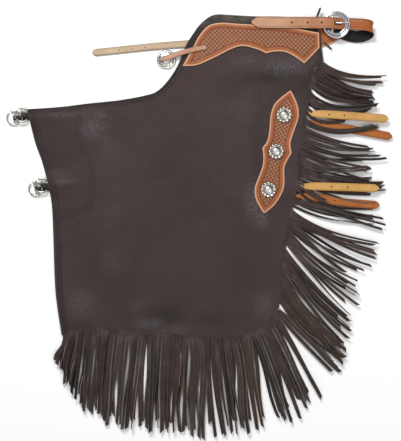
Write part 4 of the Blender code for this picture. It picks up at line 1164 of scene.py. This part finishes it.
def lathe(name, profile, steps, surface, material, node, place, ring=False, sharp=60):
    """A piece turned about Z; surface gives radius, height and engraved depth at a profile's row and a turn."""
    points, rows, paint, faces = [], [], [], []
    for spot in profile:
        row = []
        for k in range(steps if spot[0] else 1):
            turn = math.tau * k / steps
            reach, height, dark = surface(*spot, turn)
            row.append(len(points))
            points.append((place[0] + reach * math.cos(turn), place[1] + reach * math.sin(turn), place[2] + height))
            paint.append((dark, 0, 0))
        rows.append(row)
    for first, second in zip(rows, rows[1:] + rows[:1] if ring else rows[1:]):
        for k in range(steps):
            n = (k + 1) % steps
            tip = (first[0], second[k], second[n])
            faces.append(tip if len(first) == 1 else (first[k], second[k], second[n], first[n]))
    if not ring:
        faces.append(tuple(rows[-1]))
    return mesh_piece(name, points, faces, material, node, paint=np.array(paint, float), sharp=sharp)


def rod(name, route, radius, material, node=None, body=ROOT, sides=10, smooth=1):
    """A round rod with domed ends along a route."""
    line = [Vector(p) for p in route]
    if smooth > 1:
        line = spline_points(line, smooth)
    first, last = (line[1] - line[0]).normalized(), (line[-1] - line[-2]).normalized()
    dome = ((0.0, 0.35), (0.35, 0.8), (0.8, 1.0))
    stations = [(line[0] + first * back * radius, share) for back, share in dome]
    stations += [(p, 1.0) for p in line[1:-1]]
    stations += [(line[-1] - last * back * radius, share) for back, share in dome[::-1]]
    points, faces, rings = [], [], []
    for i, (place, share) in enumerate(stations):
        ahead = (stations[min(i + 1, len(stations) - 1)][0] - stations[max(i - 1, 0)][0]).normalized()
        side = Vector((-ahead.y, ahead.x, 0.0))
        if side.length < 1e-6:
            side = Vector((0, 1, 0))
        side.normalize()
        up = ahead.cross(side)
        turns = [math.tau * k / sides for k in range(sides)]
        rings.append([place + (side * math.cos(turn) + up * math.sin(turn)) * radius * share for turn in turns])
    tube(points, faces, rings)
    mesh_piece(name, points, faces, material, node, body, paint=np.zeros((len(points), 3)), sharp=60)


def concho_face(r, rim, turn):
    """A round concho: domed middle, raised ring, engraved rays and a beaded, scalloped rim."""
    reach = r * CONCHO_RADIUS * (1.0 + 0.035 * math.cos(CONCHO_BEADS * turn) * (r > 0.8))
    if rim:
        return reach, 0.0, 0.6
    bead = max(0.0, 1.0 - ((r - 0.86) / 0.13) ** 2) * abs(math.cos(CONCHO_BEADS * turn / 2)) ** 0.8
    dome = min(5.4, 5.9 * math.sqrt(max(0.0, 1 - (r / 0.56) ** 2)) if r < 0.56 else 0.0)
    ring = 1.5 * math.exp(-(((r - 0.62) / 0.035) ** 2))
    rays = 0.7 * max(0.0, math.cos(CONCHO_BEADS * 2 * turn)) * max(0.0, 1 - ((r - 0.72) / 0.06) ** 2)
    height = 0.9 + max(dome, ring) + 2.2 * bead + rays * 0.6
    # Dark antiquing in the rim's hollows; on the dome, painted shade towards its edge and a painted dark reflection
    # on its upper side
    dark = 0.0
    if 0.56 <= r:
        dark = min(1.0, 0.95 - 0.95 * min(1.0, bead + ring / 1.5 + rays))
    elif r > 0.25:
        dark = (r - 0.25) / 0.31 * (0.15 + 1.05 * max(0.0, math.sin(turn)) ** 1.5)
    return reach, height * (0.6 if r > 0.97 else 1.0), min(1.0, dark * 0.8)


concho_rows = [(r, False) for r in (*np.linspace(0.0, 0.56, 14), *np.linspace(0.6, 1.0, 22))] + [(1.0, True)]
for number, concho_place in enumerate(CONCHOS, 1):
    lathe(f"concho_{number}_silver", concho_rows, 192, concho_face, SILVER, f"concho_{number}",
          concho_place, sharp=70)


def engraving(radius, turn):
    """Rope along the rim and leaves around the middle."""
    if radius > 16.9:
        return 0.75 * (math.cos(26 * turn + 0.5 * radius) < -0.2) if radius < 19.8 else 0.1
    if radius > 15.5:
        return 0.9
    leaf = abs(math.cos(5 * turn + 0.12 * (radius - 9)))
    return 0.8 * (leaf < 0.28) + 0.45 * (9.0 < radius < 10.5) if radius > 3.5 else 0.15


def engraved_face(radius, height, turn):
    sunk = engraving(radius, turn)
    return radius, height - 0.3 * sunk, sunk


front_concho = lathe("front_concho_silver", FRONT_PROFILE, 208, engraved_face, SILVER, "front_concho",
                     (*FRONT_CONCHO, 0.3))
for side_sign in (-1, 1):
    cut_slot(front_concho, FRONT_CONCHO[0] + side_sign * FRONT_SLOT_OUT, FRONT_CONCHO[1], *FRONT_SLOT, -5, 20)


def ring_face(radius, height, turn):
    """The buckle's ring, tilted, with a dark line inside its bevel and a darker inner slope, both a painted dark
    reflection.
    """
    dark = 0.95 if 24.9 < radius < 26.1 else (0.5 if radius < 24.9 else 0.0)
    return radius, height + radius * math.cos(turn) * RING_TILT, dark


ring_x, ring_y, ring_z = RING_PLACE
lathe("buckle_ring_chrome", RING_PROFILE, 128, ring_face, CHROME, "buckle_ring", RING_PLACE,
      ring=True)
bar_x, bar_z = ring_x + BAR_X, ring_z + BAR_X * RING_TILT - BAR_DROP


def round_bar(y, bend, turns, x=bar_x, z=bar_z):
    """Points of an upright bend around a bar that lies along Y."""
    angles = [math.radians(turn) for turn in range(*turns)]
    return [(x + bend * math.cos(angle), y, z + bend * math.sin(angle)) for angle in angles]


rod("buckle_bar_chrome", [(bar_x, ring_y + off, bar_z) for off in (-BAR_REACH, 0, BAR_REACH)], BAR_RADIUS,
    CHROME, sides=16)
tongue_y = ring_y + TONGUE_OFFSET
chape_route = [(run_x, ring_y, run_z) for run_x, run_z in CHAPE_RUN]
chape_route += round_bar(ring_y, BAR_RADIUS + BAR_GAP + CHAPE_THICK / 2, CHAPE_TURN)
chape = strap(
    "buckle_chape", chape_route, CHAPE_WIDTH, CHAPE_THICK, BELT_LEATHER, across=(0, 1, 0),
    tip=False, smooth=1, crease=0,
)
cut_slot(chape, bar_x, tongue_y, 16, 4, 5, 30)
tongue_route = round_bar(tongue_y, BAR_RADIUS + BAR_GAP + TONGUE_RADIUS, TONGUE_TURN)
tongue_route += [(run_x, tongue_y, run_z) for run_x, run_z in TONGUE_RUN]
rod("buckle_tongue_chrome", tongue_route, TONGUE_RADIUS, CHROME, "buckle_tongue", smooth=3)


def arc_points(x, y, radius, start, end, height, steps):
    turns = [math.radians(start + (end - start) * k / steps) for k in range(steps + 1)]
    return [(x + radius * math.cos(turn), y + radius * math.sin(turn), height) for turn in turns]


for snap_name, sx, sy, level, tail_level, tail_end in SNAPS:
    wire = SNAP_LOOK * (1.25 if snap_name.startswith("near") else 0.95)
    for arm_number, (start, end) in enumerate(SNAP_ARMS):
        rod(f"{snap_name}_arm_{arm_number}", arc_points(sx, sy, SNAP_RADIUS, start, end, level, 18), wire,
            NICKEL, None if arm_number else snap_name, sides=14)
    reach = math.sqrt(SNAP_RADIUS**2 - SNAP_BAR_X**2)
    snap_bar, bar_radius = sx + SNAP_BAR_X, SNAP_WIRE * 0.8
    rod(f"{snap_name}_bar", [(snap_bar, sy + off, level) for off in (-reach, 0, reach)], bar_radius, NICKEL,
        sides=12)
    rod(f"{snap_name}_gate_nickel", arc_points(sx, sy, SNAP_RADIUS, *SNAP_GATE, level, 14), SNAP_LOOK * 0.85,
        NICKEL, f"{snap_name}_gate", body=f"{snap_name}_gate", sides=14)
    tab_bend = bar_radius + BAR_GAP + TAB_THICK / 2
    tab_route = [(tab_x, sy, tail_level) for tab_x in (tail_end, sx + 26, sx + 14)]
    tab_route += round_bar(sy, tab_bend, (-90, -271, -15), snap_bar, level)
    tab_route.append((sx + 10, sy, max(level + tab_bend - 0.8, tail_level + 2.2)))
    strap(f"{snap_name}_tab", tab_route, TAB_WIDTH, TAB_THICK, TAB, across=(0, 1, 0), tip=False,
          smooth=1, crease=0)


# Stitching


def inset_line(outline, inset):
    """A closed outline moved inwards by an even distance."""
    ahead = np.roll(outline, -2, axis=0) - np.roll(outline, 2, axis=0)
    length = np.linalg.norm(ahead, axis=1, keepdims=True)
    normal = np.stack([ahead[:, 1], -ahead[:, 0]], axis=1) / np.maximum(length, 1e-6)
    area = np.sum(outline[:, 0] * np.roll(outline[:, 1], -1) - np.roll(outline[:, 0], -1) * outline[:, 1])
    moved = (outline - normal * (inset if area >= 0 else -inset))[length[:, 0] > 1e-6]
    far = np.array([np.min(np.linalg.norm(outline - p, axis=1)) for p in moved])
    return moved[far > inset * 0.93]


def stitches(name, edges, insets, lift, spacing, length, radius, material):
    """Short threads set end to end inside a piece's edges, lying on its surface over the near leg."""
    points, faces = [], []
    for inset in insets:
        spots = inset_line(outline_of(edges), inset)
        lengths = run_lengths(spots)
        for start in np.arange(0.5 * spacing, lengths[-1] - length, spacing):
            tail, head = (
                np.array([np.interp(at, lengths, spots[:, k]) for k in (0, 1)]) for at in (start, start + length)
            )
            span = np.linalg.norm(head - tail)
            if span < 0.6 * length:
                continue
            ahead = (head - tail) / span
            side = np.array([-ahead[1], ahead[0]])
            rings = []
            for share, size, sink in ((0.0, 0.5, 0.5), (0.2, 1.0, 0.0), (0.8, 1.0, 0.0), (1.0, 0.5, 0.5)):
                spot = tail + (head - tail) * share
                level = float(near_face(*spot)) + lift - sink * radius
                ring = []
                for k in range(6):
                    turn = math.tau * k / 6
                    off = spot + side * math.cos(turn) * radius * size
                    ring.append((off[0], off[1], level + math.sin(turn) * radius * size))
                rings.append(ring)
            tube(points, faces, rings)
    mesh_piece(name, points, faces, material)


for stitch_name, stitch_edges, thick in (("yoke", yoke_edges, YOKE_THICK), ("plate", plate_edges, PLATE_THICK)):
    stitches(f"{stitch_name}_stitches", stitch_edges, [TOOLED_STITCH], thick, 3.0, 2.3, 0.35, TAN_THREAD)
stitches("thigh_stitches", thigh_edges, THIGH_STITCHES, PATCH_THICK - 0.15, 3.4, 2.6, 0.4, DARK_THREAD)


# Floor, light and camera

floor_mesh = bpy.data.meshes.new("studio_floor")
floor_mesh.from_pydata([(-6, -6, 0), (6, -6, 0), (6, 6, 0), (-6, 6, 0)], [], [(0, 1, 2, 3)])
floor_mesh.materials.append(floor_material())
floor = bpy.data.objects.new("studio_floor", floor_mesh)
floor.location.z = -0.0004
bpy.context.scene.collection.objects.link(floor)

scene = bpy.context.scene
scene.view_settings.view_transform = "Standard"
scene.world = bpy.data.worlds.new("studio")
scene.world.use_nodes = True
sky = Look(scene.world.node_tree)
split = sky.add("SeparateXYZ", Vector=sky.add("TexCoord").outputs["Generated"])
# Bright overhead and on the near side, dark low on the far side, for the metal to mirror
overhead = sky.spread(split.outputs["Z"], 0.25, 0.85)
near_side = sky.combined(sky.spread(split.outputs["Y"], 0.25, -0.35), 0.8)
bright = sky.combined(overhead, near_side, "MAXIMUM")
background = sky.tree.nodes["Background"]
sky.wire(background.inputs["Color"], sky.mixed(bright, (0.10, 0.10, 0.105), (1.0, 1.0, 1.0)))
background.inputs["Strength"].default_value = 0.66


def area_light(name, place, target, size, power):
    light = bpy.data.lights.new(name, "AREA")
    light.size = size
    light.energy = power
    made = bpy.data.objects.new(name, light)
    made.location = place
    made.rotation_euler = (Vector(target) - Vector(place)).to_track_quat("-Z", "Y").to_euler()
    scene.collection.objects.link(made)


area_light("key_light", (-0.7, 2.0, 1.9), (0.0, 0.1, 0.0), 0.9, 60)
area_light("fill_light", (1.4, -1.0, 2.4), (0.0, 0.0, 0.0), 1.6, 14)

camera = bpy.data.cameras.new("camera")
camera.lens, camera.sensor_width = LENS, SENSOR
camera_object = bpy.data.objects.new("camera", camera)
camera_object.location = (CAMERA_X * MM, CAMERA_Y * MM, VIEW_TALL * MM * LENS / SENSOR)
scene.collection.objects.link(camera_object)
scene.camera = camera_object
